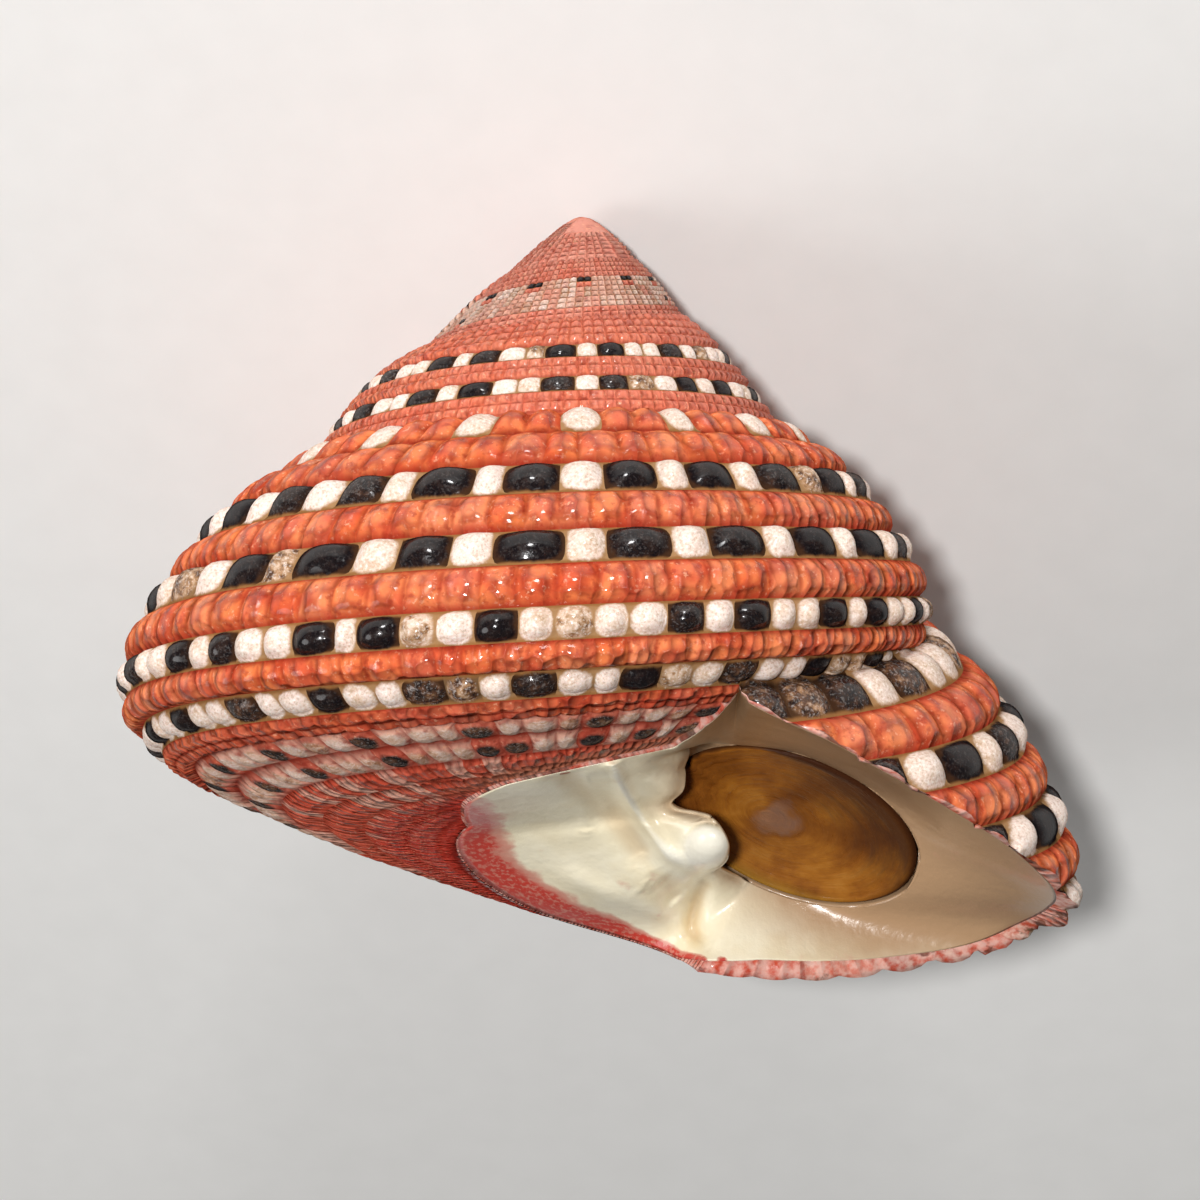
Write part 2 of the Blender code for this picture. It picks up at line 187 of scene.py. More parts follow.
# Beads. Columns of facets in one bead on each cord: on the last whorl, then on the one above.
beads = {
    "columns": [9, 9, 8, 9, 6, 9, 6, 6, 5, 6, 5, 6, 6, 5, 5, 5, 5, 5],
    "columnsAbove": [5, 5, 5, 9, 4, 9, 4, 6, 5, 6, 5, 6, 6, 5, 5, 5, 5, 5],
    "columnsYoung": 4,
    "relief": [0.0, 0.26, 0.22, 0.30, 0.23, 0.30, 0.23, 0.30, 0.22, 0.24, 0.18, 0.18, 0.18, 0.12, 0.08,
               0.06, 0.05, 0.0],
    "notch": [0.0, 0.19, 0.15, 0.29, 0.11, 0.29, 0.11, 0.26, 0.085, 0.17, 0.06, 0.12, 0.12, 0.04, 0.03,
              0.02, 0.01, 0.0],
    "sharpness": [2.0, 2.2, 2.2, 1.9, 2.2, 1.9, 2.2, 1.9, 2.2, 2.2, 2.4, 2.2, 2.2, 2.4, 2.4, 2.4, 2.4, 2.0],
    "doubledAbove": (1, 2, 4, 6),     # cords that split into two threads on the whorl above
    "youngRelief": 0.26,
    "youngNotch": 0.17,
    "youngSharpness": 2.2,
    "crest": 0.160,
    "wander": 0.13,           # how far the end of a bead strays, in bead lengths
    "blackGain": 0.10,        # how much longer a black bead is at each end
    # on each patterned cord: where odd beads begin, then start and spread of the tones of odd, dark and light beads
    "tones": {
        3: (0.93, (0.45, 0.2), (0.02, 0.1), (0.84, 0.16)), 5: (0.93, (0.45, 0.2), (0.02, 0.1), (0.84, 0.16)),
        7: (0.9, (0.35, 0.3), (0.02, 0.12), (0.86, 0.14)), 9: (0.9, (0.35, 0.3), (0.02, 0.22), (0.86, 0.14)),
        11: (0.85, (0.5, 0.0), (0.06, 0.2), (0.66, 0.24)), 12: (0.85, (0.5, 0.0), (0.06, 0.2), (0.66, 0.24)),
    },
    "bounds": (-180.0, -542.5, -902.5),   # where the last whorl begins, where the young and the tip whorls end
    "youngFade": (-540, 130),             # the relief of the young whorls comes in from here, over this span
    "sutureDark": 262.0,      # from here the cord under the suture is brown and white
    "dark": 0.3,              # beads under this tone count as black
    "threadShare": 0.7,       # power by which split threads share the relief
    "glazeCords": 1.7,        # cords next to the callus that its glaze covers
    "glazeFlat": 0.85,        # how much the glaze flattens them
    "seed": 27,
    "draws": 800,             # random draws for each cord
}

# Ribbon of facets wound from the tip to the lip: columns across it, rows along the cords.
facets = {
    "parts": [(-1468, 60, 2), (-1108, 168, 4), (-902.285714, 336, 8), (-542.285714, 420, 8), (-28, 420, 8)],
    "baseRows": 5,            # rows across each cord under the periphery, from cord 10
    "tipStart": -1408.0,
    "lastAbove": -28.0,       # the whorl above ends here, where the mouth opens
    "columnTurn": 0.857,      # degrees from column to column on the last whorl
    "sutureCord": 0.6,        # counts as the cord of the facets in the suture
    "sutureMap": 0.55,        # cord on the bead map for points of the whorl above
    "farColumns": 60,         # so far off, a point belongs to the whorl above
}
factNames = ("cordNumber", "beadCount", "rise", "cordRelief", "beadNotch", "beadLift", "coilAngle", "sharpness",
             "threads", "glaze")
tipFact = (facets["sutureCord"], 0, 0, 0, 0, 1, facets["tipStart"], 2, 1, 0)
wallFact = (0, 0, 0, 0, 0, 1, 0, 2, 1, 0)
lastWhorl, youngWhorls, tipWhorls = beads["bounds"]
points, outward, beadFacts = [], [], []
faces, faceTones, faceCords = [], [], []
lipPoints = {}
draws = beads["draws"]
chance = np.random.RandomState(beads["seed"])
straySeeds = chance.uniform(-1, 1, (len(beads["relief"]), draws))
toneSeeds = chance.uniform(0, 1, (len(beads["relief"]), draws))
liftSeeds = chance.uniform(0.82, 1.0, (len(beads["relief"]), draws))


def ribbonColumns():
    columns = []
    ends = [part[0] for part in facets["parts"][1:]] + [coil["mouthAngle"]]
    for (start, perTurn, rows), end in zip(facets["parts"], ends):
        count = int(round((end - start) * perTurn / 360.0))
        columns += [(round(start + k * 360.0 / perTurn, 5), rows) for k in range(count)]
    return [c for c in columns if c[0] >= facets["tipStart"]] + [(coil["mouthAngle"], rows)]


def rowCords(perCord):
    rows = [coil["topCord"]]
    for cord in range(1, 17):
        n = perCord if cord < 10 else min(perCord, facets["baseRows"] - (cord > 13))
        rows += [round(cord + k / n - 0.5, 4) for k in range(n) if cord + k / n - 0.5 > coil["topCord"] + 0.06]
    return rows + [16.5, coil["padCord"]]


columns = ribbonColumns()
columnAngles = [c[0] for c in columns]
openColumn = columnAngles.index(facets["lastAbove"])
laidColumn = columnAngles.index(facets["tipStart"] + 360)


def cordOf(cord):
    return min(max(int(math.floor(cord + 0.5)), 1), 16)


# Number of the bead on cord k at column i, how far along it, and its columns of facets.
def beadOf(i, k):
    angle = columnAngles[min(i, len(columns) - 1)]
    span = beads["columns"][k] if angle > lastWhorl else beads["columnsAbove"][k]
    if angle < youngWhorls:
        span = beads["columnsYoung"]
    n = int(math.floor(i / span + 1e-6))
    return n, i / span - n, span


def isDark(angle, n, k, one):
    if k in (3, 5) and angle > lastWhorl:
        return n % 2 == 0
    if k in (3, 5, 7):
        return n % 5 in (0, 2)
    if k == 9:
        return n % 3 == 0
    return n % 4 == 0 or (k == 12 and one < 0.2)


# 0 black to 1 white on a patterned cord; on a red one, how pale the bead is.
def beadTone(angle, n, k):
    one, two = toneSeeds[k, n % draws], toneSeeds[k, (n + draws // 2 + 1) % draws]
    if angle < tipWhorls + 0.5:
        return 0.3 * one
    if angle < youngWhorls:
        if k == 3:                     # pairs of black dashes
            return 0.02 if n % 7 in (0, 1) else 0.5 + 0.5 * one
        if k in (4, 5):
            return 0.1 if one < 0.1 and k == 5 else 0.4 + 0.6 * one
        return 0.3 * one
    if k in beads["tones"]:
        odd, *tones = beads["tones"][k]
        dark = isDark(angle, n, k, one)
        start, spread = tones[0] if one > odd else tones[1 if dark else 2]
        return start + spread * two * (two if dark and one <= odd and k < 10 else 1)
    if k == 1 and angle > beads["sutureDark"]:
        return 0.88 if one > 0.7 else 0.1 + 0.4 * two
    if k == 1 and angle > lastWhorl:
        return 0.9 if n % 3 == 0 else 0.08 * one
    if k >= 13:
        return 0.72 * (one > 0.72) + 0.1 * two
    return 0.12 * one


# How far the end between beads n - 1 and n strays, in bead lengths: a black bead takes room.
def beadEnd(angle, n, k):
    stray = beads["wander"] * straySeeds[k, n % draws]
    if k in beads["tones"]:
        before, after = beadTone(angle, n - 1, k), beadTone(angle, n, k)
        stray += beads["blackGain"] * ((before < beads["dark"]) * 1.0 - (after < beads["dark"]) * 1.0)
    return stray


def threadsOf(angle, k):
    if angle < tipWhorls:
        return 1
    return 2 if angle < youngWhorls or (angle < lastWhorl and k in beads["doubledAbove"]) or k == 10 else 1


# Points of one column; returns the cords and point numbers from the suture down.
def addColumn(i):
    angle, perCord = columns[i]
    free = i >= openColumn
    limit = cordLimit(angle)
    rows = [c for c in rowCords(perCord) if c < limit - 0.07] + [round(limit, 4)]
    place, out = skinPoints(angle, rows)
    ahead = (skinPoints(angle + 0.5, rows)[0] - place) * 2     # one degree along the coil
    size = wholeSize(angle)
    young = min(max((beads["youngFade"][0] - angle) / beads["youngFade"][1], 0), 1)
    chain = []
    for row, (cord, p, o, along) in enumerate(zip(rows, place, out, ahead)):
        if row == 0 and i >= laidColumn:
            continue                                           # laid on the whorl above
        onLip = free and angle > lipAngle(cord) - 0.45
        if onLip and cord in lipPoints:
            chain.append((cord, lipPoints[cord]))
            continue
        k = cordOf(cord)
        n, f, span = beadOf(i, k)
        across = cord - k
        if onLip:
            (p,), (o,) = skinPoints(lipAngle(cord), [cord])
            lipPoints[cord] = len(points)
        elif 0 < row < len(rows) - 1 and tipWhorls < angle < lipAngle(cord) - 2:
            shift = beadEnd(angle, n, k) * (1 - f) + beadEnd(angle, n + 1, k) * f
            p = p + along * shift * span * facets["columnTurn"] * max(1 - (2 * across) ** 4, 0)
        relief = beads["relief"][k] * (1 - young) + beads["youngRelief"] * young
        notch = beads["notch"][k] * (1 - young) + beads["youngNotch"] * young
        relief /= threadsOf(angle, k) ** beads["threadShare"]
        glaze = 0.0
        if free:
            glaze = ease((cord - limit) / beads["glazeCords"] + 1)
            kept = 1 - beads["glazeFlat"] * glaze
            relief, notch = relief * kept, notch * kept
        rise = beads["crest"] * min(max((11 - cord) / 3, 0), 1)
        if row == 0 or cord >= coil["padCord"]:
            rise, relief = 0, 0
        if angle < coil["wornUpTo"]:
            p = wornTip(p)
        chain.append((cord, len(points)))
        points.append(p)
        outward.append(o)
        sharp = beads["youngSharpness"] if angle < youngWhorls else beads["sharpness"][k]
        beadFacts.append((cord, n + f, size * rise, size * relief, size * notch, liftSeeds[k, n % draws], angle,
                          sharp, threadsOf(angle, k), glaze))
    return chain


def addFace(loop, i, cord):
    ring = [v for j, v in enumerate(loop) if v != loop[j - 1]]
    if len(set(ring)) > 2:
        k = cordOf(cord)
        faces.append(tuple(ring))
        faceTones.append(beadTone(columnAngles[i], beadOf(i, k)[0], k))
        faceCords.append((i, k))


# Steps along two chains of (station, point): where each begins, which sides move on, and to what station.
def sideBySide(left, right):
    a = b = 0
    while a < len(left) - 1 or b < len(right) - 1:
        nextLeft = left[a + 1][0] if a < len(left) - 1 else 1e9
        nextRight = right[b + 1][0] if b < len(right) - 1 else 1e9
        level = abs(nextLeft - nextRight) < 1e-4
        moveLeft, moveRight = level or nextLeft < nextRight, level or nextLeft >= nextRight
        yield a, b, left[a + 1:a + 1 + moveLeft], right[b + 1:b + 1 + moveRight], min(nextLeft, nextRight)
        a, b = a + moveLeft, b + moveRight


def windRibbon():
    chains = [addColumn(i) for i in range(len(columns))]
    corner = round(attachCord(facets["lastAbove"]), 4)
    for i in range(len(columns) - 1):
        left, right = chains[i], chains[i + 1]
        if i + 1 == openColumn:
            right = [c for c in right if c[0] < corner + 1e-4]
        if i + 1 == laidColumn:
            right = [(coil["topCord"], chains[0][-1][1])] + right
        for a, b, moreLeft, moreRight, station in sideBySide(left, right):
            ring = [left[a]] + moreLeft + moreRight + [right[b]]
            addFace([v for c, v in ring], i, 0.5 * (left[a][0] + station))
    # suture: the lower edge of each whorl carries the first free row of the next one
    above = [(columnAngles[i] + 360, [c for c in chains[i] if c[0] < corner + 1e-4 or i < openColumn][-1][1])
             for i in range(openColumn + 1)]
    below = [(columnAngles[i], chains[i][0][1]) for i in range(laidColumn, len(columns))]
    for a, b, moreAbove, moreBelow, station in sideBySide(above, below):
        ring = [above[a], below[b]] + moreBelow + moreAbove
        addFace([v for c, v in ring], laidColumn + b, facets["sutureCord"])
    return chains


def openEdges(allFaces):
    edges = {pair for face in allFaces for pair in zip(face, face[1:] + face[:1])}
    follow = {a: b for a, b in edges if (b, a) not in edges}
    loops = []
    while follow:
        start = min(follow)
        loop = [start]
        nxt = follow.pop(start)
        while nxt != start:
            loop.append(nxt)
            nxt = follow.pop(nxt)
        loops.append(loop)
    return sorted(loops, key=len)


chains = windRibbon()
edgeLoops = openEdges(faces)
print("ribbon wound:", len(points), "points,", len(faces), "facets, open edges", [len(e) for e in edgeLoops])


# Where the picture looks from: height over square to the axis in degrees, distance in millimetres.
sight = {"rise": 9.406, "bank": 1.18, "distance": 84.0}

# Mouth: callus on the base, tooth and fold of the columella, and the funnel down to the horny plate.
# Places along the mouth edge are counted 0-1 on the upper edge of the callus, 1-2 on its lower edge, 2-3 on the lip.
mouth = {
    "plateCentre": (4.84, -0.16, 12.80),
    "plateNormal": (-0.20, 0.76, 0.62),
    "plateLong": (0.927, -0.061, 0.37),
    "plateHalves": (2.64, 1.77),
    "plateShift": -0.06,
    "bevel": ([0, 0.04, 0.96, 1.0, 1.9, 2.06, 2.30, 2.44, 2.55, 2.75, 3.0],
              [0.06, 0.08, 0.08, 0.03, 0.03, 0.42, 0.42, 0.40, 0.20, 0.10, 0.06]),
    "callusLift": 0.05,                # how far the callus stands over the whorl, and how round the lip's bevel is
    "bevelRound": 0.03,
    # visible edge of the opening: on the columella as place, millimetres across and down in the picture
    # plane and height above the plate, on the lip side as place and angle round the plate
    "columella": [(0.28, 2.95, 11.38, 0.20), (0.40, 2.70, 11.43, 0.45), (0.52, 2.69, 11.68, 0.90),
                  (0.62, 2.61, 11.93, 1.20), (0.72, 2.63, 12.16, 1.45), (0.82, 2.58, 12.42, 1.60),
                  (0.92, 2.35, 12.67, 1.70), (1.00, 2.48, 12.82, 1.75), (1.12, 2.88, 12.89, 1.80),
                  (1.22, 3.18, 12.97, 1.90), (1.33, 3.41, 13.18, 1.95), (1.45, 3.56, 13.49, 1.95),
                  (1.57, 3.55, 13.78, 1.80), (1.68, 3.41, 14.00, 1.40), (1.78, 3.60, 14.12, 0.80),
                  (1.88, 3.85, 14.22, 0.35)],
    "lipSide": [(2.0, 266), (2.15, 288), (2.30, 314), (2.42, 345), (2.50, 380), (2.58, 403), (2.70, 428),
                (2.85, 462), (3.0, 493)],
    "plateReach": (1.03, 0.13),        # where the funnel touches the plate, as a share of it and above it
    "drop": ([0, 0.3, 0.5, 0.8, 1.0, 1.15, 1.5, 1.8, 2.05, 2.2, 2.8, 3.0],
             [0.8, 1.3, 2.2, 2.3, 1.6, 1.0, 0.8, 0.9, 0.85, 0.75, 0.75, 0.8]),
    "cave": [(0.15, 1.03), (0.0, 1.035), (-0.25, 1.03), (-0.9, 0.93), (-1.4, 0.55)],
    # coarse wall of the shell behind the lining: depth, shares of it at rings of the lining, ovals at the end
    "wallSunk": 0.95,
    "wallRings": ((4, 0.2), (10, 0.6), (20, 1.0), (32, 1.2)),
    "wallWide": 1.24,
    "wallOvals": ((1.24, -0.5), (0.8, -1.9)),
    "caveDeep": 1.6,
    "caveEnd": 2.0,
    # height over the plate of parts hidden under the columella, below the plate on the lip side
    "underColumella": ([0, 0.25, 1.75, 1.95, 3], [-0.5, 0.3, 0.3, -0.5, -0.5]),
}
lining = {
    "columns": (120, 120, 210),        # on the upper edge, the lower edge and the lip
    "rings": 46,
    "crowding": 1.35,                  # rings lie closer together near the opening
    "smoothing": 30,
    "back": ((0, 0.0), (2, 0.10), (5, 0.32), (10, 0.60), (18, 0.75), (28, 0.80), (38, 0.80), (46, 0.35)),
    # ridges, furrows and scratches seen on the callus: picture-plane points, height, half width
    "lines": [
        ([(-0.33, 11.95), (0.30, 12.30), (0.94, 12.77), (1.53, 13.43), (1.96, 14.09)], -0.30, 0.34),
        ([(0.92, 11.65), (1.09, 11.86), (1.42, 12.48), (1.86, 13.17), (2.24, 13.62), (2.63, 13.87)], 0.28, 0.14),
        ([(0.51, 11.94), (0.66, 12.39), (1.05, 12.91)], 0.08, 0.12),
        ([(3.26, 14.19), (3.06, 14.38), (2.92, 14.76), (2.84, 15.29), (3.10, 15.66)], -0.34, 0.17),
        ([(0.48, 12.82), (0.57, 13.13), (0.56, 13.40)], 0.08, 0.05),
        ([(1.67, 14.54), (1.78, 14.37), (1.84, 14.26)], 0.08, 0.05),
        ([(0.03, 14.09), (0.87, 14.49), (1.72, 14.79), (2.46, 15.09)], 0.14, 0.22),
        ([(2.13, 14.25), (2.56, 14.67)], -0.22, 0.24),
    ],
    "tooth": (3.08, 13.52, 0.50),      # across, down, radius
    "apron": (0.30, 1.35),             # height and spread of the swelling round the tooth
    "tuck": (-0.22, 0.05, 0.35, 1.95), # depth and spread of the edge of the opening, from one place to another
    "gridStep": 0.8,                   # share of each smoothing step
    "crimson": 0.85,                   # width of the red margin, and its share from place to place
    "crimsonSpan": (0.80, 2.02),
    "crimsonShares": ([0.8, 0.98, 1.1, 1.5, 1.8, 2.0], [0.1, 0.5, 1.0, 0.6, 0.2, 0.1]),
    "onLip": ([0, 0.25, 1.85, 2.1, 3], [1, 0, 0, 1, 1]),
    "backWide": 1.12,                  # back of the layer round the plate, as a share of it
}


sightCos, sightSin = math.cos(math.radians(sight["rise"])), math.sin(math.radians(sight["rise"]))
toCameraSide = np.array((0, sightCos, sightSin))


def unit(v):
    v = np.asarray(v, float)
    return v / np.linalg.norm(v, axis=-1, keepdims=True)


plateNormal = unit(mouth["plateNormal"])
plateLong = np.array(mouth["plateLong"])
plateLong = unit(plateLong - plateNormal * plateLong.dot(plateNormal))
plateShort = np.cross(plateNormal, plateLong)
plateCentre = np.array(mouth["plateCentre"]) + mouth["plateShift"] * plateShort


def betweenRows(at, stations, rows):
    return np.stack([np.interp(at, stations, rows[:, k]) for k in range(3)], -1)


def runLength(line):
    return np.concatenate(([0], np.cumsum(np.linalg.norm(np.diff(line, axis=0), axis=1))))


# Points at shares of the length of a smooth line through the given points.
def smoothLine(line, shares):
    line = np.asarray(line, float)
    padded = np.vstack((2 * line[0] - line[1], line, 2 * line[-1] - line[-2]))
    fine = [catmull(*padded[i - 1:i + 3], t) for i in range(1, len(padded) - 2)
            for t in np.linspace(0, 1, 12, endpoint=False)]
    fine = np.array(fine + [line[-1]])
    run = runLength(fine)
    return betweenRows(np.asarray(shares) * run[-1], run, fine)


def catmull(a, b, c, d, t):
    return 0.5 * (2 * b + (c - a) * t + (2 * a - 5 * b + 4 * c - d) * t * t + (3 * b - a - 3 * c + d) * t ** 3)


# Place in the picture plane, in millimetres across and down from the pole of the tip.
def seen(p):
    toward = p[..., 1] * sightCos + p[..., 2] * sightSin
    scale = sight["distance"] / (sight["distance"] - toward)
    return np.stack((p[..., 0] * scale, (p[..., 2] * sightCos - p[..., 1] * sightSin) * scale), -1)


# Point seen at a place in the picture plane that lies at a height above the horny plate.
def fromPicture(across, down, height):
    eye = toCameraSide * sight["distance"]
    ray = np.array((across, -down * sightSin, down * sightCos)) - eye
    return eye + ray * (height - plateNormal @ (eye - plateCentre)) / (plateNormal @ ray)


# Smooth closed curve of period 3 through guide points.
def throughPoints(knots, values, at):
    knots, values = np.array(knots, float), np.array(values, float)
    knots = np.concatenate((knots[-2:] - 3, knots, knots[:2] + 3))
    values = np.vstack((values[-2:], values, values[:2]))
    slope = np.zeros_like(values)
    slope[1:-1] = (values[2:] - values[:-2]) / (knots[2:] - knots[:-2])[:, None]
    j = np.searchsorted(knots, at, side="right") - 1
    span = (knots[j + 1] - knots[j])[:, None]
    t = (at - knots[j])[:, None] / span
    return (values[j] * (1 + 2 * t) * (1 - t) ** 2 + values[j + 1] * t * t * (3 - 2 * t) +
            span * (slope[j] * t * (1 - t) ** 2 - slope[j + 1] * t * t * (1 - t)))


def plateOval(angle, scale, height):
    angle, height = np.radians(np.atleast_1d(angle))[:, None], np.reshape(height, (-1, 1))
    longHalf, shortHalf = mouth["plateHalves"]
    return (plateCentre + scale * (np.cos(angle) * longHalf * plateLong + np.sin(angle) * shortHalf * plateShort) +
            height * plateNormal)


# How far along the mouth edge each of its points lies, 0 to 3.
def edgePlaces(edge, padEnd, baseEnd):
    closed = np.vstack((edge, edge[:1]))
    places = []
    for n, (a, b) in enumerate(((0, padEnd), (padEnd, baseEnd), (baseEnd, len(edge)))):
        run = runLength(closed[a:b + 1])
        places += list(n + run[:-1] / run[-1])
    return np.array(places)


# Rings of the lining from its rim down to the horny plate.
def liningFront(rimPoints, places):
    angles = np.array([p[1] for p in mouth["lipSide"]])
    guides = [fromPicture(*p[1:]) for p in mouth["columella"]] + list(plateOval(angles[:-1], *mouth["plateReach"]))
    knots = [p[0] for p in mouth["columella"]] + [p[0] for p in mouth["lipSide"][:-1]]
    guides.insert(0, plateOval(angles[-1], *mouth["plateReach"])[0])
    opening = throughPoints([0.0] + knots, guides, places)
    toward = toCameraSide
    share = 1 - (1 - np.linspace(0, 1, lining["rings"] + 1)) ** lining["crowding"]
    share = share[:, None, None]
    plain = rimPoints[None] * (1 - share) + opening[None] * share
    power = np.interp(places, *mouth["drop"])[None, :, None]
    deep = ((opening - rimPoints) @ toward)[None, :, None]
    plain = plain + (share ** power - share) * deep * toward
    for _ in range(lining["smoothing"]):
        middle = 0.25 * (plain[:-2] + plain[2:] + np.roll(plain, 1, 1)[1:-1] + np.roll(plain, -1, 1)[1:-1])
        plain[1:-1] += ((middle - plain[1:-1]) @ toward)[..., None] * toward * lining["gridStep"]
    spots = seen(plain)
    rise = np.zeros(plain.shape[:2])
    for line, height, halfWidth in lining["lines"]:
        rise += lineHeight(spots, line, height, halfWidth)
    near = np.clip(1 - share[..., 0], 0, 1)
    rise *= np.clip(share[..., 0] * 7, 0, 1) * np.clip(near * 9, 0, 1)
    x, y, radius = lining["tooth"]
    gap = np.hypot(spots[..., 0] - x, spots[..., 1] - y) / radius
    dome = np.sqrt(np.clip(1 - gap ** 2, 0, 1)) * radius
    height, spread = lining["apron"]
    apron = height * np.exp(-(gap / spread) ** 2) * np.clip(near * 7, 0, 1)
    depth, spread, start, end = lining["tuck"]
    tuck = depth * np.exp(-(near / spread) ** 2)
    tuck = tuck * np.clip((places - start) * 6, 0, 1) * np.clip((end - places) * 8, 0, 1)
    rise += np.maximum(dome, apron) + tuck * (gap > 1.1)
    return plain, plain + rise[..., None] * toward, rise


# Height of a rounded ridge or furrow that follows a line, fading at its ends.
def lineHeight(spots, line, height, halfWidth):
    line = np.hstack((np.array(line), np.zeros((len(line), 1))))
    way = smoothLine(line, np.linspace(0, 1, 50))[:, :2]
    gap = np.full(spots.shape[:2], 99.0)
    nearest = np.zeros(spots.shape[:2])
    for n, p in enumerate(way):
        here = np.hypot(spots[..., 0] - p[0], spots[..., 1] - p[1])
        nearest = np.where(here < gap, n / 49.0, nearest)
        gap = np.minimum(here, gap)
    fade = np.clip(np.minimum(nearest, 1 - nearest) * 5 + 0.25, 0, 1)
    return height * fade * np.exp(-(gap / halfWidth) ** 2)


# From round the axis to the lying pose, camera side to -Y, in metres.
def layDown(p):
    lean, roll = math.radians(coil["lean"]), math.radians(coil["roll"])
    p = np.atleast_2d(p)
    x = p[:, 0] * math.cos(roll) - p[:, 1] * math.sin(roll)
    y = p[:, 0] * math.sin(roll) + p[:, 1] * math.cos(roll)
    z = p[:, 2]
    world = np.stack((-x, z * math.cos(lean) - y * math.sin(lean), y * math.cos(lean) + z * math.sin(lean)), -1)
    return (world - np.array(coil["origin"])) * 0.001


# Facets from one ring of points to the next, or turned round for the back of a layer.
def ringFaces(last, fresh, back=False):
    pairs = [(a, (a + 1) % len(last)) for a in range(len(last))]
    if back:
        return [(last[a], last[b], fresh[b], fresh[a]) for a, b in pairs]
    return [(last[b], last[a], fresh[a], fresh[b]) for a, b in pairs]


def capFaces(last, end, back=False):
    return [(v, w, end) if back else (w, v, end) for v, w in zip(last, list(last[1:]) + [last[0]])]


def addPoints(fresh, out, fact):
    start = len(points)
    points.extend(fresh)
    outward.extend([np.array(out)] * len(fresh))
    beadFacts.extend([fact] * len(fresh))
    return list(range(start, len(points)))


# Close the tip with a small dome and carry the mouth down to its end.
tip, rimLoop = edgeLoops
ribbonFaces = len(faces)
tipPoints = np.array([points[v] for v in tip])
lastRing = tip
tipTop = wornTip(np.array((coil["tipShift"] * coil["tipAside"], 0.0, 0.0)))
for share in coil["domeRings"]:
    dome = [wornTip(tipTop * (1 - share) + np.array((p[0], p[1], 0)) * share) for p in tipPoints]
    fresh = addPoints(dome, (0.0, 0.0, -1.0), tipFact)
    faces += ringFaces(lastRing, fresh)
    lastRing = fresh
faces += capFaces(lastRing, addPoints([tipTop], (0.0, 0.0, -1.0), tipFact)[0])
faceTones += [0.1] * (len(faces) - ribbonFaces)
faceCords += [(0, 1)] * (len(faces) - ribbonFaces)
outsideFaces = len(faces)

corner = [v for c, v in chains[openColumn] if abs(c - attachCord(facets["lastAbove"])) < 1e-3][0]
order = rimLoop[rimLoop.index(corner):] + rimLoop[:rimLoop.index(corner)]
padColumn = next(i for i, a in enumerate(columnAngles) if a >= coil["callus"][-1][1])
padEnd = order.index(chains[padColumn][-1][1])
baseEnd = order.index(lipPoints[coil["padCord"]])
edgeRing = np.array([points[v] for v in order])
edgeOut = np.array([outward[v] for v in order])
edgePlace = edgePlaces(edgeRing, padEnd, baseEnd)
onCallus = (np.clip((edgePlace - 0.02) * 10, 0, 1) * np.clip((1 - edgePlace) * 10, 0, 1))[:, None]
rimRing = (edgeRing + np.interp(edgePlace, *mouth["bevel"])[:, None] * unit(plateCentre - edgeRing) +
           mouth["callusLift"] * onCallus * edgeOut)
places = np.concatenate([n + np.arange(c) / c for n, c in enumerate(lining["columns"])])
closedRim = np.vstack((rimRing, rimRing[:1]))
closedPlace = np.append(edgePlace, 3.0)
rimPoints = betweenRows(places, closedPlace, closedRim)
plainGrid, frontGrid, frontRise = liningFront(rimPoints, places)


def underColumella(at):
    return np.interp(at, *mouth["underColumella"])


# A ring of the lining moved back into the shell, one point for each point of the mouth edge.
def behindFront(ring, depth):
    behind = plainGrid[ring] - toCameraSide * depth
    behind = np.vstack((behind, behind[:1]))
    return betweenRows(edgePlace, np.append(places, 3.0), behind)


# Angle round the horny plate for places along the mouth edge.
def turnAt(at):
    angles = [p[1] for p in mouth["lipSide"]]
    return np.interp(at, [0] + [p[0] for p in mouth["lipSide"]], [angles[-1] - 360] + angles)


lastRing = order
rimFaces = {}
edgeOf = {v: v for v in order}
halfway = 0.5 * (edgeRing + rimRing) + mouth["bevelRound"] * (1 - onCallus) * unit(rimRing - plateCentre)
wall = [halfway, rimRing] + [behindFront(ring, share * mouth["wallSunk"]) for ring, share in mouth["wallRings"]]
wall.append(plateOval(turnAt(edgePlace), mouth["wallWide"], underColumella(edgePlace)))
wall += [plateOval(turnAt(edgePlace), scale, height) for scale, height in mouth["wallOvals"]]
for number, ring in enumerate(wall):
    fresh = addPoints(list(ring), (0.0, 0.0, 0.0), wallFact)
    edgeOf.update(zip(fresh, order))
    if number < 2:
        rimFaces.update(zip(range(len(faces), len(faces) + len(order)), order))
    faces += ringFaces(lastRing, fresh)
    lastRing = fresh
wallEnd = addPoints([plateCentre - plateNormal * (mouth["caveEnd"] + 0.6)], (0.0, 0.0, 0.0), wallFact)[0]
faces += capFaces(lastRing, wallEnd)
for j in range(outsideFaces, len(faces)):
    i, k = 0, 0
    if j in rimFaces:
        edge = dict(zip(factNames, beadFacts[rimFaces[j]]))
        k = cordOf(edge["cordNumber"])
        i = bisect.bisect_left(columnAngles, edge["coilAngle"] - 1)
    faceTones.append(beadTone(columnAngles[i], beadOf(i, k)[0], k) if k else 0.9)
    faceCords.append((i, k))


def addAttribute(mesh, name, kind, domain, values):
    layer = mesh.attributes.new(name, kind, domain)
    layer.data.foreach_set("vector" if kind == "FLOAT_VECTOR" else "value", np.asarray(values, float).ravel())


